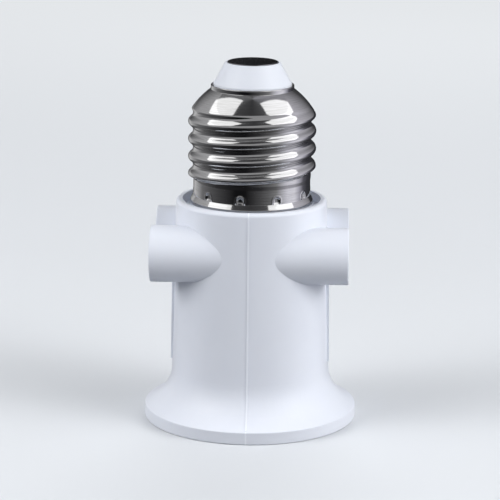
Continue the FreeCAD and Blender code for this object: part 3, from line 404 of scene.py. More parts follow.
def rounded_path(points: list[Pair], radii: list[float],
                 steps: int = ARC_POINTS) -> Grids:
    """Round every corner of a closed outline of radius and height.

    At each corner an arc of the given radius touches both sides. Its centre lies on the
    corner's bisector, radius / sin(half the corner's angle) away, and its points turn
    evenly from one side's normal to the other's. The material lies left of the path, so
    the outward normal points away from the centre at a left turn and to it at a right.

    Args:
        points: The corners in order, with the material on the left.
        radii: One radius for each corner, over 0.
        steps: Points on each arc.

    Returns:
        The rounded outline's points and its outward unit normals, both (n, 2).
    """
    corner = np.array(points, float)
    radius = np.array(radii, float)[:, None]
    back = np.roll(corner, 1, axis=0) - corner
    ahead = np.roll(corner, -1, axis=0) - corner
    back /= np.linalg.norm(back, axis=1, keepdims=True)
    ahead /= np.linalg.norm(ahead, axis=1, keepdims=True)
    half = np.arccos(np.clip((back * ahead).sum(1, keepdims=True), -1, 1)) / 2
    bisector = back + ahead
    bisector /= np.linalg.norm(bisector, axis=1, keepdims=True)
    centre = corner + bisector * radius / np.sin(half)
    first = (corner + back * radius / np.tan(half) - centre) / radius
    last = (corner + ahead * radius / np.tan(half) - centre) / radius
    sweep = math.pi - 2 * half[:, :, None]
    share = np.linspace(0, 1, steps)[None, :, None]
    spoke = (np.sin((1 - share) * sweep) * first[:, None] + np.sin(share * sweep)
             * last[:, None]) / np.sin(sweep)
    turn = np.sign(ahead[:, 1] * -back[:, 0] + ahead[:, 0] * back[:, 1])[:, None, None]
    path = centre[:, None] + spoke * radius[:, :, None]
    return path.reshape(-1, 2), (spoke * turn).reshape(-1, 2)


def grid_piece(name: str, points: np.ndarray, normals: np.ndarray, closed_rows: bool,
               closed_columns: bool, lengths: np.ndarray | None = None) -> Piece:
    """Put a grid of points into one mesh of quads.

    Point (i, j) joins (i, j + 1), (i + 1, j + 1) and (i + 1, j). Rows follow the profile
    and columns run round the axis, counter-clockwise from above, so the quads face out.

    Args:
        name: The piece's name.
        points: Points in millimetres, (rows, columns, 3).
        normals: Outward normals of the same shape.
        closed_rows: True if the last row joins the first.
        closed_columns: True if the last column joins the first.
        lengths: Distance of each row along the profile in millimetres, for the UV map.

    Returns:
        The new object, linked into the scene.
    """
    rows, columns = points.shape[:2]
    down, across = np.meshgrid(np.arange(rows if closed_rows else rows - 1),
                               np.arange(columns if closed_columns else columns - 1),
                               indexing="ij")
    below, beside = (down + 1) % rows, (across + 1) % columns
    quads = np.stack([down * columns + across, down * columns + beside,
                      below * columns + beside, below * columns + across],
                     axis=-1).reshape(-1, 4)
    mesh = bpy.data.meshes.new(name)
    mesh.vertices.add(rows * columns)
    mesh.vertices.foreach_set("co", (points * MM).reshape(-1).astype(np.float32))
    mesh.loops.add(quads.size)
    mesh.loops.foreach_set("vertex_index", quads.reshape(-1).astype(np.int32))
    mesh.polygons.add(len(quads))
    mesh.polygons.foreach_set("loop_start", np.arange(0, quads.size, 4, dtype=np.int32))
    mesh.update(calc_edges=True)
    if lengths is not None:
        turned = mesh.uv_layers.new(name="Turned")
        round_mm = 2 * math.pi * float(np.abs(points[..., :2]).max())
        u = np.stack([across, across + 1, across + 1, across], -1) / columns * round_mm
        step = np.append(lengths, 2 * lengths[-1] - lengths[-2])
        v = np.stack([step[down], step[down], step[down + 1], step[down + 1]], -1)
        flat = np.stack([u, v], -1).reshape(-1) * MM
        turned.data.foreach_set("uv", flat.astype(np.float32))
    mesh.polygons.foreach_set("use_smooth", np.ones(len(quads), bool))
    mesh.normals_split_custom_set_from_vertices(normals.reshape(-1, 3).tolist())
    piece = bpy.data.objects.new(name, mesh)
    bpy.context.scene.collection.objects.link(piece)
    return piece


def close_poles(piece: Piece) -> Piece:
    """Weld the points that a turned profile leaves on its axis.

    Args:
        piece: A piece whose profile starts or ends on the axis.

    Returns:
        The same piece.
    """
    work = bmesh.new()
    work.from_mesh(piece.data)
    bmesh.ops.remove_doubles(work, verts=work.verts, dist=WELD_GAP)
    work.to_mesh(piece.data)
    work.free()
    return piece


def column_angles(columns: int) -> np.ndarray:
    """Angles in radians of evenly spaced columns round the axis, (1, columns)."""
    return (np.arange(columns) / columns * 2 * math.pi)[None]


def turned_grid(path: np.ndarray, normals: np.ndarray, columns: int) -> Grids:
    """Turn a profile of radius and height about the Z axis.

    A point (r, z) at angle a goes to (r cos a, r sin a, z), and its normal likewise.

    Args:
        path: Profile points (n, 2) in millimetres.
        normals: Unit normals (n, 2) of the profile.
        columns: Steps round the axis.

    Returns:
        Points and normals, both (n, columns, 3).
    """
    angle = column_angles(columns)
    ray = np.stack([np.cos(angle), np.sin(angle)], -1)
    high = np.ones((1, columns, 1))
    points = np.concatenate([path[:, None, :1] * ray, path[:, None, 1:] * high], -1)
    facing = np.concatenate([normals[:, None, :1] * ray, normals[:, None, 1:] * high], -1)
    return points, facing


def wavy_piece(name: str, stretches: list[Grids], angle: np.ndarray) -> Piece:
    """Build a closed sheet whose radius changes round the axis.

    A point of radius r at angle a and height z is (r cos a, r sin a, z). Its normal is
    the cross product of the surface's two central differences, round the axis first and
    along the profile second.

    Args:
        name: The piece's name.
        stretches: Radii, (rows, columns) or (rows, 1), and heights, (rows,), of each
            stretch of a profile that closes, in millimetres.
        angle: Angle of each column, (1, columns).

    Returns:
        The piece, with a UV map.
    """
    radius = np.concatenate([part * np.ones_like(angle) for part, _ in stretches])
    height = np.concatenate([rows for _, rows in stretches])[:, None]
    points = np.stack([radius * np.cos(angle), radius * np.sin(angle),
                       height + 0 * radius], -1)
    around = np.roll(points, -1, axis=1) - np.roll(points, 1, axis=1)
    along = np.roll(points, -1, axis=0) - np.roll(points, 1, axis=0)
    facing = np.cross(around, along)
    facing /= np.linalg.norm(facing, axis=-1, keepdims=True) + 1e-12
    steps = np.linalg.norm(np.diff(points[:, 0], axis=0), axis=-1)
    lengths = np.concatenate([[0], np.cumsum(steps)])
    return grid_piece(name, points, facing, True, True, lengths)


def smooth_step(value: np.ndarray, low: float, high: float) -> np.ndarray:
    """Rise from 0 at low to 1 at high as 3t^2 - 2t^3.

    Args:
        value: Numbers to map.
        low: Where the rise starts.
        high: Where it ends.

    Returns:
        The risen values.
    """
    share = np.clip((value - low) / (high - low), 0, 1)
    return share * share * (3 - 2 * share)


def soft_least(one: np.ndarray, other: np.ndarray, blend: float) -> np.ndarray:
    """The lesser of two fields with a round join.

    Where they differ by less than the blend b, (b - difference)^2 / 4b comes off.

    Args:
        one: First field.
        other: Second field.
        blend: Width of the join, in the fields' own unit.

    Returns:
        The joined field.
    """
    near = np.clip(blend - np.abs(one - other), 0, None)
    return np.minimum(one, other) - near * near / (4 * blend)


@dataclass(frozen=True)
class RolledThread:
    """The rounded lamp thread: two arcs to a turn, joined by a straight flank."""

    pitch: float = 3.629
    depth: float = 1.0
    arc: float = 1.025

    def ridge(self, offset: np.ndarray) -> np.ndarray:
        """Height of the ridge at a distance along the axis from its crest.

        Crest and root are arcs of equal radius r whose centres lie half a pitch apart
        along the axis and 2r less the depth apart across it. The flank is their inner
        tangent, at the angle asin(2r / distance of the centres) less the angle of the
        line between the centres. From the crest out, the height falls along the first
        arc, then along the flank, then along the second arc to nothing at the root.

        Args:
            offset: Distance from the nearest crest in millimetres, of either sign.

        Returns:
            The height above the root in millimetres.
        """
        half = self.pitch / 2
        rise = 2 * self.arc - self.depth
        slope = math.asin(2 * self.arc / math.hypot(half, rise)) - math.atan2(rise, half)
        reach = self.arc * math.sin(slope)
        away = np.abs(offset)
        crest = (self.depth - self.arc
                 + np.sqrt(np.clip(self.arc ** 2 - away ** 2, 0, None)))
        flank = (self.depth - self.arc * (1 - math.cos(slope))
                 - math.tan(slope) * (away - reach))
        root = self.arc - np.sqrt(np.clip(self.arc ** 2 - (half - away) ** 2, 0, None))
        return np.where(away < reach, crest, np.where(away > half - reach, root, flank))

    def nearest(self, height: np.ndarray, angle: np.ndarray, start: float) -> Grids:
        """Find the nearest turn of a right-handed thread.

        The crest climbs one pitch in a full turn, counter-clockwise from above, from
        its start height at angle 0.

        Args:
            height: Heights in millimetres.
            angle: Angles in radians.
            start: Height of one crest at angle 0.

        Returns:
            The distance from the nearest crest, and that crest's height.
        """
        climb = start + self.pitch * angle / (2 * math.pi)
        crest = climb + self.pitch * np.round((height - climb) / self.pitch)
        return height - crest, crest


@dataclass
class CapShell:
    """The rolled screw cap with its lip, staked skirt, thread, shoulder and ring.

    Lengths are in millimetres. The growths are heights over the thread's foot, the
    stakes' foot is a height over the lip, and falls and rises are shares of the stake's
    radius.
    """

    thread: RolledThread = RolledThread()
    foot: float = 45.5
    lip_top: float = 47.2
    lip_flare: float = 1.0
    lip: float = 12.65
    wall: float = 0.3
    skirt: float = 12.0
    root: float = 12.1
    last_steepness: float = 1.1
    thread_foot: float = 50.5
    ridge_growth: Pair = (-0.75, 0.6)
    root_growth: Pair = (-0.4, 0.6)
    first_crest: float = 49.52
    shoulder_foot: float = 65.3
    shoulder_join: float = 0.35
    ring_foot: float = 68.95
    ring_wall: float = 0.45
    ring_top: float = 69.85
    ring: float = 8.5
    throat: float = 8.05
    shoulder_arc: float = 16.0
    shoulder_centre: Pair = (-0.945, 56.035)
    stakes: int = 10
    stake_height: float = 48.05
    stake_turn: float = 9.0
    stake_radius: float = 0.8
    stake_depth: float = 0.3
    stake_foot: Pair = (-0.1, 0.5)
    stake_fall: Pair = (0.5, 1.0)
    burr: float = 0.07
    burr_rise: Pair = (0.85, 1.05)
    burr_fall: Pair = (1.1, 1.4)
    row: float = 0.14
    fine_row: float = 0.09
    fine_top: float = 49.6
    inner_top: float = 50.2
    columns: int = 400

    def stake_dents(self, height: np.ndarray, angle: np.ndarray) -> np.ndarray:
        """Depth of the punch marks, which are arches that stand on the lip.

        The distance from a mark's middle line counts height only above the arch's
        centre. The depth falls away to nothing at the arch's radius as a smooth step,
        and about there a burr rises and falls again, also by smooth steps. Both start
        over the lip.

        Args:
            height: Heights in millimetres, (rows, 1).
            angle: Angles in radians, (1, columns).

        Returns:
            Depth in millimetres at each point, negative on the burr.
        """
        share = 2 * math.pi / self.stakes
        off = (angle - math.radians(self.stake_turn) + share / 2) % share - share / 2
        reach = np.hypot(off * self.skirt,
                         np.clip(height - self.stake_height, 0, None)) / self.stake_radius
        dent = self.stake_depth * (1 - smooth_step(reach, *self.stake_fall))
        burr = self.burr * (smooth_step(reach, *self.burr_rise)
                            * (1 - smooth_step(reach, *self.burr_fall)))
        return smooth_step(height - self.lip_top, *self.stake_foot) * (dent - burr)

    def outside(self, height: np.ndarray, angle: np.ndarray) -> np.ndarray:
        """Outer radius of skirt, thread and shoulder.

        The thread's ridge stands on the root and grows in along its first turn. Where
        no turn lies below it, its underside falls in a shorter distance. The shoulder
        is an arc about a centre near the axis, and the lesser of the two is kept with a
        round join. The punch marks come off the skirt.

        Args:
            height: Heights in millimetres, (rows, 1).
            angle: Angles in radians, (1, columns).

        Returns:
            The radius in millimetres at each point.
        """
        offset, crest = self.thread.nearest(height, angle, self.first_crest)
        grown, below = (smooth_step(turn - self.thread_foot, *self.ridge_growth)
                        for turn in (crest, crest - self.thread.pitch))
        steeper = np.where(offset < 0, 1 + self.last_steepness * (1 - below), 1)
        offset = np.maximum(offset * steeper, -self.thread.pitch / 2)
        base = self.skirt + (self.root - self.skirt) * smooth_step(
            height - self.thread_foot, *self.root_growth)
        threaded = base + grown * self.thread.ridge(offset)
        across, up = self.shoulder_centre
        shoulder = across + np.sqrt(self.shoulder_arc ** 2 - (height - up) ** 2)
        return (soft_least(threaded, shoulder, self.shoulder_join)
                - self.stake_dents(height, angle))

    def build(self) -> Piece:
        """Build the cap as one closed sheet.

        The profile runs down inside, round the lip, up the outside and over the ring.
        The three plain stretches are outlines of their own with rounded corners, and
        the corners that only close them come off.

        Returns:
            The piece.
        """
        angle = column_angles(self.columns)
        bore = self.skirt - self.wall
        lip_bore = self.lip - self.wall
        down, _ = rounded_path([
            (self.throat, self.ring_top), (self.throat, self.ring_foot - self.ring_wall),
            (bore, self.shoulder_foot - self.wall), (bore, self.shoulder_foot - 1),
        ], [0.12, 0.3, 0.4, 0.01])
        lip, _ = rounded_path([
            (bore, self.lip_top - 0.15), (lip_bore, self.lip_top - self.lip_flare - 0.1),
            (lip_bore, self.foot), (self.lip, self.foot),
            (self.lip, self.lip_top - self.lip_flare), (self.skirt, self.lip_top - 0.02),
            (self.skirt, self.lip_top + 0.2), (bore + 0.1, self.lip_top + 0.1),
        ], [0.05, 0.1, 0.13, 0.13, 0.3, 0.06, 0.02, 0.02])
        over, _ = rounded_path([
            (self.ring + 0.4, self.ring_foot - 0.4), (self.ring, self.ring_foot),
            (self.ring, self.ring_top), (self.throat, self.ring_top),
        ], [0.01, 0.08, 0.2, 0.12])
        down = down[ARC_POINTS:-2]
        lip = lip[:6 * ARC_POINTS]
        over = over[ARC_POINTS:3 * ARC_POINTS]
        inner = np.arange(self.inner_top, self.lip_top - 0.1, -self.row)
        outer = np.concatenate([
            np.arange(self.lip_top + 0.12, self.fine_top, self.fine_row),
            np.arange(self.fine_top, self.ring_foot - 0.1, self.row)])
        return wavy_piece("cap_shell_rolled", [
            (down[:, :1], down[:, 1]),
            (bore - self.stake_dents(inner[:, None], angle), inner),
            (lip[:, :1], lip[:, 1]),
            (self.outside(outer[:, None], angle), outer),
            (over[:, :1], over[:, 1])], angle)


@dataclass
class SocketShell:
    """The rolled lamp socket with its inner thread and the flange that is riveted on."""

    thread: RolledThread = RolledThread()
    foot: float = 8.0
    top: float = 24.05
    wall: float = 0.3
    outer: float = 13.7
    crest: float = 12.4
    groove: float = 13.4
    flange: float = 9.0
    entry: float = 1.2
    leave: float = 2.2
    cone_join: float = 0.25
    rows_foot: float = 0.15
    rows_top: float = 0.3
    row: float = 0.13
    columns: int = 300

    def inside(self, height: np.ndarray, angle: np.ndarray) -> np.ndarray:
        """Inner radius: the thread's groove, opened by a cone at each end.

        Each cone keeps the groove's radius over its own length and then closes by one
        millimetre for each millimetre of height. The largest of the three is kept.

        Args:
            height: Heights in millimetres, (rows, 1).
            angle: Angles in radians, (1, columns).

        Returns:
            The radius in millimetres at each point.
        """
        offset, _ = self.thread.nearest(height, angle, self.foot)
        threaded = self.crest + self.thread.ridge(offset)
        entry = self.groove - np.clip(height - self.foot - self.entry, 0, None)
        leave = self.groove - np.clip(self.top - self.wall - self.leave - height, 0, None)
        return -soft_least(-threaded, -np.maximum(entry, leave), self.cone_join)

    def build(self) -> Piece:
        """Build the shell as one closed sheet, up outside and down the thread.

        Returns:
            The piece.
        """
        angle = column_angles(self.columns)
        face = self.top - self.wall
        plain, _ = rounded_path([
            (self.groove, self.foot), (self.outer, self.foot), (self.outer, self.top),
            (self.flange, self.top), (self.flange, face), (self.groove, face),
        ], [0.1, 0.12, 0.25, 0.1, 0.1, 0.2])
        inner = np.arange(face - self.rows_top, self.foot + self.rows_foot, -self.row)
        return wavy_piece("socket_shell_rolled", [
            (plain[:, :1], plain[:, 1]),
            (self.inside(inner[:, None], angle), inner)], angle)


@dataclass
class CapTop:
    """The insulating cone in the cap's top and the contact that is staked in it."""

    cone_base: float = 7.95
    cone_foot: float = 70.1
    cone_top: float = 74.38
    cone_rim: float = 5.65
    seat: float = 5.25
    seat_height: float = 74.0
    hole: float = 1.7
    flange: float = 8.6
    flange_foot: float = 66.4
    flange_top: float = 67.8
    disc: float = 5.15
    disc_edge: float = 74.55
    crown: float = 74.8
    stem: float = 1.6
    stem_bore: float = 1.2
    stem_flare: float = 2.4
    dome_edge: float = 0.2
    dome_rows: int = 14
    columns: int = 160

    def build_cone(self) -> Piece:
        """Build the insulator: a turned outline with every edge rounded.

        Returns:
            The piece.
        """
        path, normals = rounded_path([
            (self.hole, self.flange_foot), (self.flange, self.flange_foot),
            (self.flange, self.flange_top), (self.cone_base, self.flange_top),
            (self.cone_base, self.cone_foot), (self.cone_rim, self.cone_top),
            (self.seat, self.cone_top), (self.seat, self.seat_height),
            (self.hole, self.seat_height),
        ], [0.1, 0.15, 0.15, 0.1, 0.45, 0.16, 0.08, 0.08, 0.1], 7)
        points, facing = turned_grid(path, normals, self.columns)
        return grid_piece("cap_insulator_moulded", points, facing, True, True)

    def build_contact(self) -> Piece:
        """Build the contact: disc, dome and hollow stem as one turned outline.

        The outline is rounded as a closed one and then opened on the axis. The dome is
        the arc through the disc's edge and the crown, whose radius is (half width
        squared plus rise squared) / (2 * rise).

        Returns:
            The piece.
        """
        end = self.flange_foot - (self.stem - self.stem_bore)
        path, normals = rounded_path([
            (0.0, self.seat_height), (self.stem_bore, self.seat_height),
            (self.stem_bore, end), (self.stem_flare, end),
            (self.stem_flare, self.flange_foot), (self.stem, self.flange_foot),
            (self.stem, self.seat_height), (self.disc, self.seat_height),
            (self.disc, self.disc_edge), (0.0, self.disc_edge),
        ], [1e-4, 0.1, 0.1, 0.1, 0.1, 0.06, 0.1, 0.12, 0.16, 1e-4])
        path, normals = (rows[ARC_POINTS:-ARC_POINTS] for rows in (path, normals))
        rise = self.crown - self.disc_edge
        sphere = (self.disc ** 2 + rise ** 2) / (2 * rise)
        out = np.linspace(self.disc - self.dome_edge, 0, self.dome_rows)
        dome = np.stack([out, self.crown - sphere + np.sqrt(sphere ** 2 - out ** 2)], -1)
        tilt = np.stack([out / sphere, np.sqrt(1 - (out / sphere) ** 2)], -1)
        path = np.concatenate([[[0.0, self.seat_height]], path, dome])
        normals = np.concatenate([[[0.0, -1.0]], normals, tilt])
        points, facing = turned_grid(path, normals, self.columns)
        return close_poles(grid_piece("cap_contact_stamped", points, facing, False, True))


@dataclass
class Finishes:
    """Every finish on the object, by the record's slot."""

    made: dict[Slot, Material] = field(default_factory=dict)

    def build(self) -> None:
        """Make all the materials from the plain names of what they are."""
        recipes = {
            Slot.WHITE_PLASTIC: MouldedPlastic(
                # The seam colour is partly a painted highlight on the raised parting
                # line.
                "White PBT, injection moulded", "#E5E9F2", "#E0E4EE", seam_flash_and_highlight="#F0F4FC"),
            Slot.INSULATOR_PLASTIC: MouldedPlastic(
                "White melamine, compression moulded", "#E0E4EC", "#DBDFE8",
                roughness=0.38, ripple=1.8),
            Slot.NICKEL_PLATE: PlatedSheet(
                "Bright nickel plate on rolled brass", "#D4D4D4", "#BDBCBA"),
            Slot.CONTACT_PLATE: StampedMetal(
                "Dull plated contact, stamped", "#98989B", "#808084", 0.2),
            Slot.CONTACT_BRASS: StampedMetal(
                "Spring brass, stamped bare", "#C9A565", "#9C7A40", 0.24),
            Slot.RIVET_BRASS: StampedMetal(
                "Brass rivet, headed", "#BE9A55", "#8F6E38", 0.3, stain_size=1.2),
            Slot.BASE_PLASTIC: MouldedPlastic(
                "Filled phenolic, compression moulded", "#BDBAB3", "#ABA79F",
                roughness=0.55, ripple=0.4, ripple_depth=0.012, glow=0.0),
            Slot.SCREW_STEEL: StampedMetal(
                "Zinc plated steel, headed", "#B9BCC0", "#8E9296", 0.3, stain_size=1.5),
            Slot.LEAD_INSULATION: MouldedPlastic(
                "PVC sleeve, extruded", "#C9C9C7", "#BEBEBB",
                roughness=0.45, ripple=0.6, glow=0.02),
        }
        self.made = {slot: recipe.material() for slot, recipe in recipes.items()}
        for slot, material in self.made.items():
            log.info("finish %s: %s", slot.value, material.name)


@dataclass
class Holder:
    """The lamp holder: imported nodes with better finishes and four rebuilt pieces."""

    finishes: Finishes
    cap: CapShell = field(default_factory=CapShell)
    socket: SocketShell = field(default_factory=SocketShell)
    top: CapTop = field(default_factory=CapTop)

    def dress_nodes(self) -> None:
        """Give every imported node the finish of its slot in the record."""
        for part in frame["record"]["subparts"]:
            node = frame["nodes"][part["node"]]
            finish = self.finishes.made[Slot(part["material_slot"])]
            if not node.material_slots:
                node.data.materials.append(finish)
            for place in node.material_slots:
                place.material = finish
            log.info("node %s: %s", node.name, finish.name)

    def seat(self, piece: Piece, node: str, slot: Slot) -> None:
        """Dress a rebuilt piece and let it stand for its node.

        Args:
            piece: The rebuilt piece.
            node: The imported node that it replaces.
            slot: The slot that its finish comes from.
        """
        piece.data.materials.append(self.finishes.made[slot])
        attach(piece, BODY)
        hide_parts(node)
        log.info("piece %s for %s: %d faces", piece.name, node, len(piece.data.polygons))

    def build(self) -> None:
        """Build and dress everything."""
        self.dress_nodes()
        self.seat(self.cap.build(), "cap_shell", Slot.NICKEL_PLATE)
        self.seat(self.socket.build(), "socket_shell", Slot.NICKEL_PLATE)
        self.seat(self.top.build_cone(), "cap_insulator", Slot.INSULATOR_PLASTIC)
        self.seat(self.top.build_contact(), "cap_contact", Slot.CONTACT_PLATE)


@dataclass(frozen=True)
class SoftBox:
    """One soft box, by the middle and size of its front in metres.

    Its first side runs along the given direction, as near as its aim lets it.
    """

    name: str
    middle: Place
    size: Pair
    power: float
    along: Place = (1.0, 0.0, 0.0)
    aim: Place = (0.0, 0.0, 0.05)
    reflected: bool = True

    def build(self) -> None:
        """Hang the soft box and turn it to its aim."""
        lamp = bpy.data.lights.new(self.name, "AREA")
        lamp.shape = "RECTANGLE"
        lamp.size, lamp.size_y = self.size
        lamp.energy = self.power
        holder = bpy.data.objects.new(self.name, lamp)
        behind = (Vector(self.middle) - Vector(self.aim)).normalized()
        side = Vector(self.along)
        side = (side - behind * side.dot(behind)).normalized()
        turned = Matrix((side, behind.cross(side), behind)).transposed().to_4x4()
        holder.matrix_world = Matrix.Translation(self.middle) @ turned
        holder.visible_glossy = self.reflected
        bpy.context.scene.collection.objects.link(holder)


@dataclass(frozen=True)
class Tent:
    """The glowing cards round the object that its metal mirrors: painted reflections.

    The ring is a band of a sphere about the cap's middle, between two elevations in
    degrees. Further out, behind the soft boxes, stands a cloth that is pale but for its
    back, and a darker dome over it. The low card lies just over the floor inside the
    ring. All lengths are in metres.
    """

    middle: float = 0.057
    ring_reach: float = 0.17
    ring_elevations: Pair = (-19.2, 6.0)
    cloth_reach: float = 0.78
    cloth_elevations: Pair = (-2.0, 46.0)
    dome_reach: float = 0.8
    dome_elevations: Pair = (44.0, 89.9)
    low_card: Pair = (0.026, 0.164)
    low_height: float = 0.0008
    low_columns: int = 96
    columns: int = 180
    rows: int = 25

    def hide(self, card: Piece, finish: Material) -> Piece:
        """Dress a card and let reflections alone see it.

        Args:
            card: The card's mesh object.
            finish: Its material.

        Returns:
            The same card.
        """
        card.data.materials.append(finish)
        card.visible_camera = False
        card.visible_diffuse = False
        card.visible_transmission = False
        card.visible_shadow = False
        log.info("card %s: %s", card.name, finish.name)
        return card

    def build_band(self, name: str, reach: float, elevations: Pair,
                   finish: Material) -> Piece:
        """Build a band as a grid of sphere points.

        A point at azimuth a and elevation e is reach * (sin a cos e, -cos a cos e,
        sin e) from the cap's middle.

        Args:
            name: The band's name.
            reach: The sphere's radius.
            elevations: Its lowest and highest elevation in degrees.
            finish: Its material.

        Returns:
            The band.
        """
        a = np.radians(np.linspace(-180, 180, self.columns + 1)[:-1])[None]
        e = np.radians(np.linspace(*elevations, self.rows))[:, None]
        ray = np.stack([np.sin(a) * np.cos(e), -np.cos(a) * np.cos(e),
                        np.sin(e) + 0 * a], -1)
        points = (ray * reach + np.array([0, 0, self.middle])) / MM
        return self.hide(grid_piece(name, points, -ray, False, True), finish)

    def build_low(self, finish: Material) -> Piece:
        """Build the low card as a flat ring of two radii."""
        path = np.array([[radius, self.low_height] for radius in self.low_card]) / MM
        points, facing = turned_grid(path, np.array([[0.0, 1.0]] * 2), self.low_columns)
        return self.hide(grid_piece("tent_low_card", points, facing, False, True), finish)

    def build(self, ring: Material, cloth: Material, dome: Material,
              low: Material) -> None:
        """Build all the cards."""
        for name, reach, elevations, finish in (
                ("tent_ring", self.ring_reach, self.ring_elevations, ring),
                ("tent_cloth", self.cloth_reach, self.cloth_elevations, cloth),
                ("tent_dome", self.dome_reach, self.dome_elevations, dome)):
            self.build_band(name, reach, elevations, finish)
        self.build_low(low)


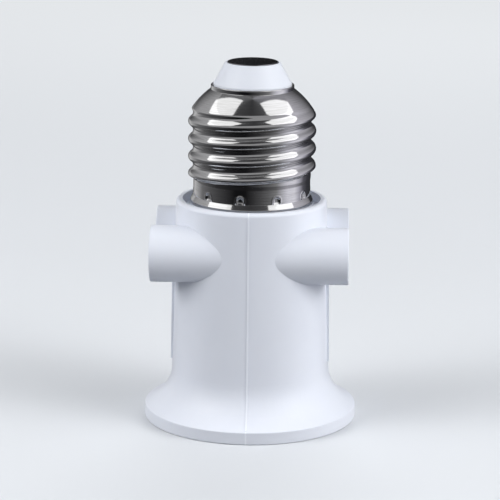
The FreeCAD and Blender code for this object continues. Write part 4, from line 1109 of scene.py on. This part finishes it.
@dataclass
class Studio:
    """Pale sweep, soft boxes, a glowing tent that paints reflections, and the camera.

    Lengths are in metres, angles in degrees, and lens and sensor in millimetres.
    """

    floor_colour: str = "#D9DCE0"
    floor_bounce: str = "#8A8C90"
    backdrop: str = "#E4E7EA"
    air_colour: str = "#E3E7EC"
    air_level: float = 0.25
    tent: Tent = Tent()
    ring_tones: Tones = (
        (-180, "#3A3A3C"), (-160, "#6E6E70"), (-143, "#CECECF"), (-125, "#B0B0B2"),
        (-108, "#7C7C7E"), (-84, "#606062"), (-64, "#4C4C4E"), (-46, "#38383A"),
        (-29, "#18181A"), (-10, "#18181A"), (4, "#3A3A3C"), (19, "#545456"),
        (35, "#6E6E70"), (50, "#8E8E90"), (62, "#C8C8D0"), (75, "#F0EFFA"),
        (92, "#F6F5FF"), (105, "#C0BFCC"), (119, "#62616A"), (137, "#3E3E44"),
        (160, "#343438"), (180, "#3A3A3C"))
    cloth_tones: Tones = (
        (-180, "#242426"), (-160, "#4A4A4C"), (-130, "#B0B0B2"), (-100, "#BCBCBE"),
        (-60, "#A4A4A6"), (-25, "#A6A6A8"), (5, "#A4A4A6"), (35, "#A8A8AA"),
        (70, "#C4C3CA"), (100, "#D8D6E0"), (130, "#B0AFB6"), (160, "#4A4A4C"),
        (180, "#242426"))
    dome_tones: Tones = (
        (-180, "#5C5C5E"), (-130, "#808082"), (-90, "#6C6C6E"), (-40, "#4C4C4E"),
        (0, "#404042"), (40, "#565658"), (90, "#84848A"), (130, "#A4A3AA"),
        (180, "#5C5C5E"))
    low_tones: Tones = (
        (-180, "#2C2C2E"), (-150, "#58585A"), (-125, "#78787A"), (-100, "#606062"),
        (-70, "#363638"), (-40, "#242426"), (-10, "#1C1C1E"), (20, "#343436"),
        (50, "#6A6A6C"), (75, "#B4B3BC"), (95, "#B4B3BC"), (115, "#6A6A70"),
        (140, "#38383C"), (180, "#2C2C2E"))
    flat: float = 0.9
    wall: float = 1.5
    wall_height: float = 1.3
    flat_rows: int = 12
    wall_rows: int = 40
    columns: int = 96
    distance: float = 0.480
    elevation: float = 13.784
    azimuth: float = 2.2
    roll: float = 0.4837
    lens: float = 167.08
    sensor: float = 36.0
    clip: Pair = (0.05, 10.0)
    aim_right: float = -0.0002496
    aim_height: float = 0.03511

    def build_sweep(self) -> Piece:
        """Build floor and backdrop as one round bowl.

        The profile is flat out to one radius, and then a quarter of an ellipse takes it
        up to the wall, so that every side view has the same pale ground.

        Returns:
            The sweep.
        """
        turn = np.linspace(0, math.pi / 2, self.wall_rows)[1:]
        out = np.concatenate([np.linspace(0, self.flat, self.flat_rows),
                              self.flat + (self.wall - self.flat) * np.sin(turn)])
        up = np.concatenate([np.zeros(self.flat_rows),
                             self.wall_height * (1 - np.cos(turn))])
        path = np.stack([out, up], -1)[::-1] / MM
        slope = np.gradient(path, axis=0)
        normals = np.stack([slope[:, 1], -slope[:, 0]], -1)
        normals /= np.linalg.norm(normals, axis=1, keepdims=True)
        points, facing = turned_grid(path, normals, self.columns)
        sweep = close_poles(grid_piece("studio_sweep", points, facing, False, True))
        paper = PaperSweep("Matt paper sweep", self.floor_colour, self.floor_bounce,
                           self.backdrop)
        sweep.data.materials.append(paper.material())
        return sweep

    def build_air(self) -> None:
        """Light the room evenly with one pale world colour."""
        world = bpy.data.worlds.new("Studio air")
        world.use_nodes = True
        world.node_tree.nodes.clear()
        sky = add_node(world.node_tree, "Background", {
            "Color": linear(self.air_colour), "Strength": self.air_level})
        add_node(world.node_tree, "OutputWorld", {"Surface": sky})
        bpy.context.scene.world = world

    def build_camera(self) -> None:
        """Place the camera that sees the object as the photograph does.

        It stands back from its aim along (sin a cos e, -cos a cos e, sin e), and its
        right and up axes are turned by the roll, so that the object's top leans right.
        """
        a, e, r = map(math.radians, (self.azimuth, self.elevation, self.roll))
        back = Vector((math.sin(a) * math.cos(e), -math.cos(a) * math.cos(e),
                       math.sin(e)))
        right = Vector((math.cos(a), math.sin(a), 0))
        up = back.cross(right)
        across = right * math.cos(r) + up * math.sin(r)
        upright = up * math.cos(r) - right * math.sin(r)
        aim = right * self.aim_right + Vector((0, 0, self.aim_height))
        spot = aim + back * self.distance
        data = bpy.data.cameras.new("Camera")
        data.lens = self.lens
        data.sensor_width = self.sensor
        data.clip_start, data.clip_end = self.clip
        camera = bpy.data.objects.new("Camera", data)
        camera.matrix_world = Matrix((
            (across.x, upright.x, back.x, spot.x),
            (across.y, upright.y, back.y, spot.y),
            (across.z, upright.z, back.z, spot.z),
            (0, 0, 0, 1)))
        bpy.context.scene.collection.objects.link(camera)
        bpy.context.scene.camera = camera

    def build(self) -> None:
        """Set up the whole studio."""
        bpy.context.scene.view_settings.view_transform = "Standard"
        self.build_sweep()
        self.build_air()
        # Glowing bands that only reflections see, whose tones paint the metal's
        # reflections.
        self.tent.build(*(ToneBand(name, tones).material() for name, tones in (
            ("Glowing ring, painted reflections black to white", self.ring_tones),
            ("Glowing cloth, painted pale reflections", self.cloth_tones),
            ("Glowing dome, painted grey reflections", self.dome_tones),
            ("Glowing low card, painted floor reflections", self.low_tones))))
        boxes = [
            SoftBox("soft_box_left", (-0.365, -0.026, 0.511), (0.44, 0.40), 0.62,
                    (-0.62, 0.64, -0.42)),
            SoftBox("soft_box_right", (0.370, -0.068, 0.508), (0.47, 0.46), 0.78,
                    (0.60, 0.70, -0.36)),
            SoftBox("fill_left", (-0.62, -0.26, 0.38), (0.5, 0.4), 4.0, reflected=False),
            SoftBox("fill_right", (0.62, -0.34, 0.40), (0.5, 0.4), 3.25, reflected=False),
            SoftBox("fill_low", (0.70, -0.20, 0.20), (0.5, 0.4), 2.2, reflected=False),
            SoftBox("fill_back", (0.05, 0.70, 0.38), (0.5, 0.4), 2.4, reflected=False),
        ]
        for box in boxes:
            box.build()
            log.info("lamp %s: %.1f W", box.name, box.power)
        self.build_camera()


def main() -> None:
    """Build the finishes, the lamp holder and the studio in that order."""
    logging.basicConfig(level=logging.INFO, format="%(name)s: %(message)s")
    finishes = Finishes()
    finishes.build()
    Holder(finishes).build()
    Studio().build()


if __name__ == "__main__":
    main()
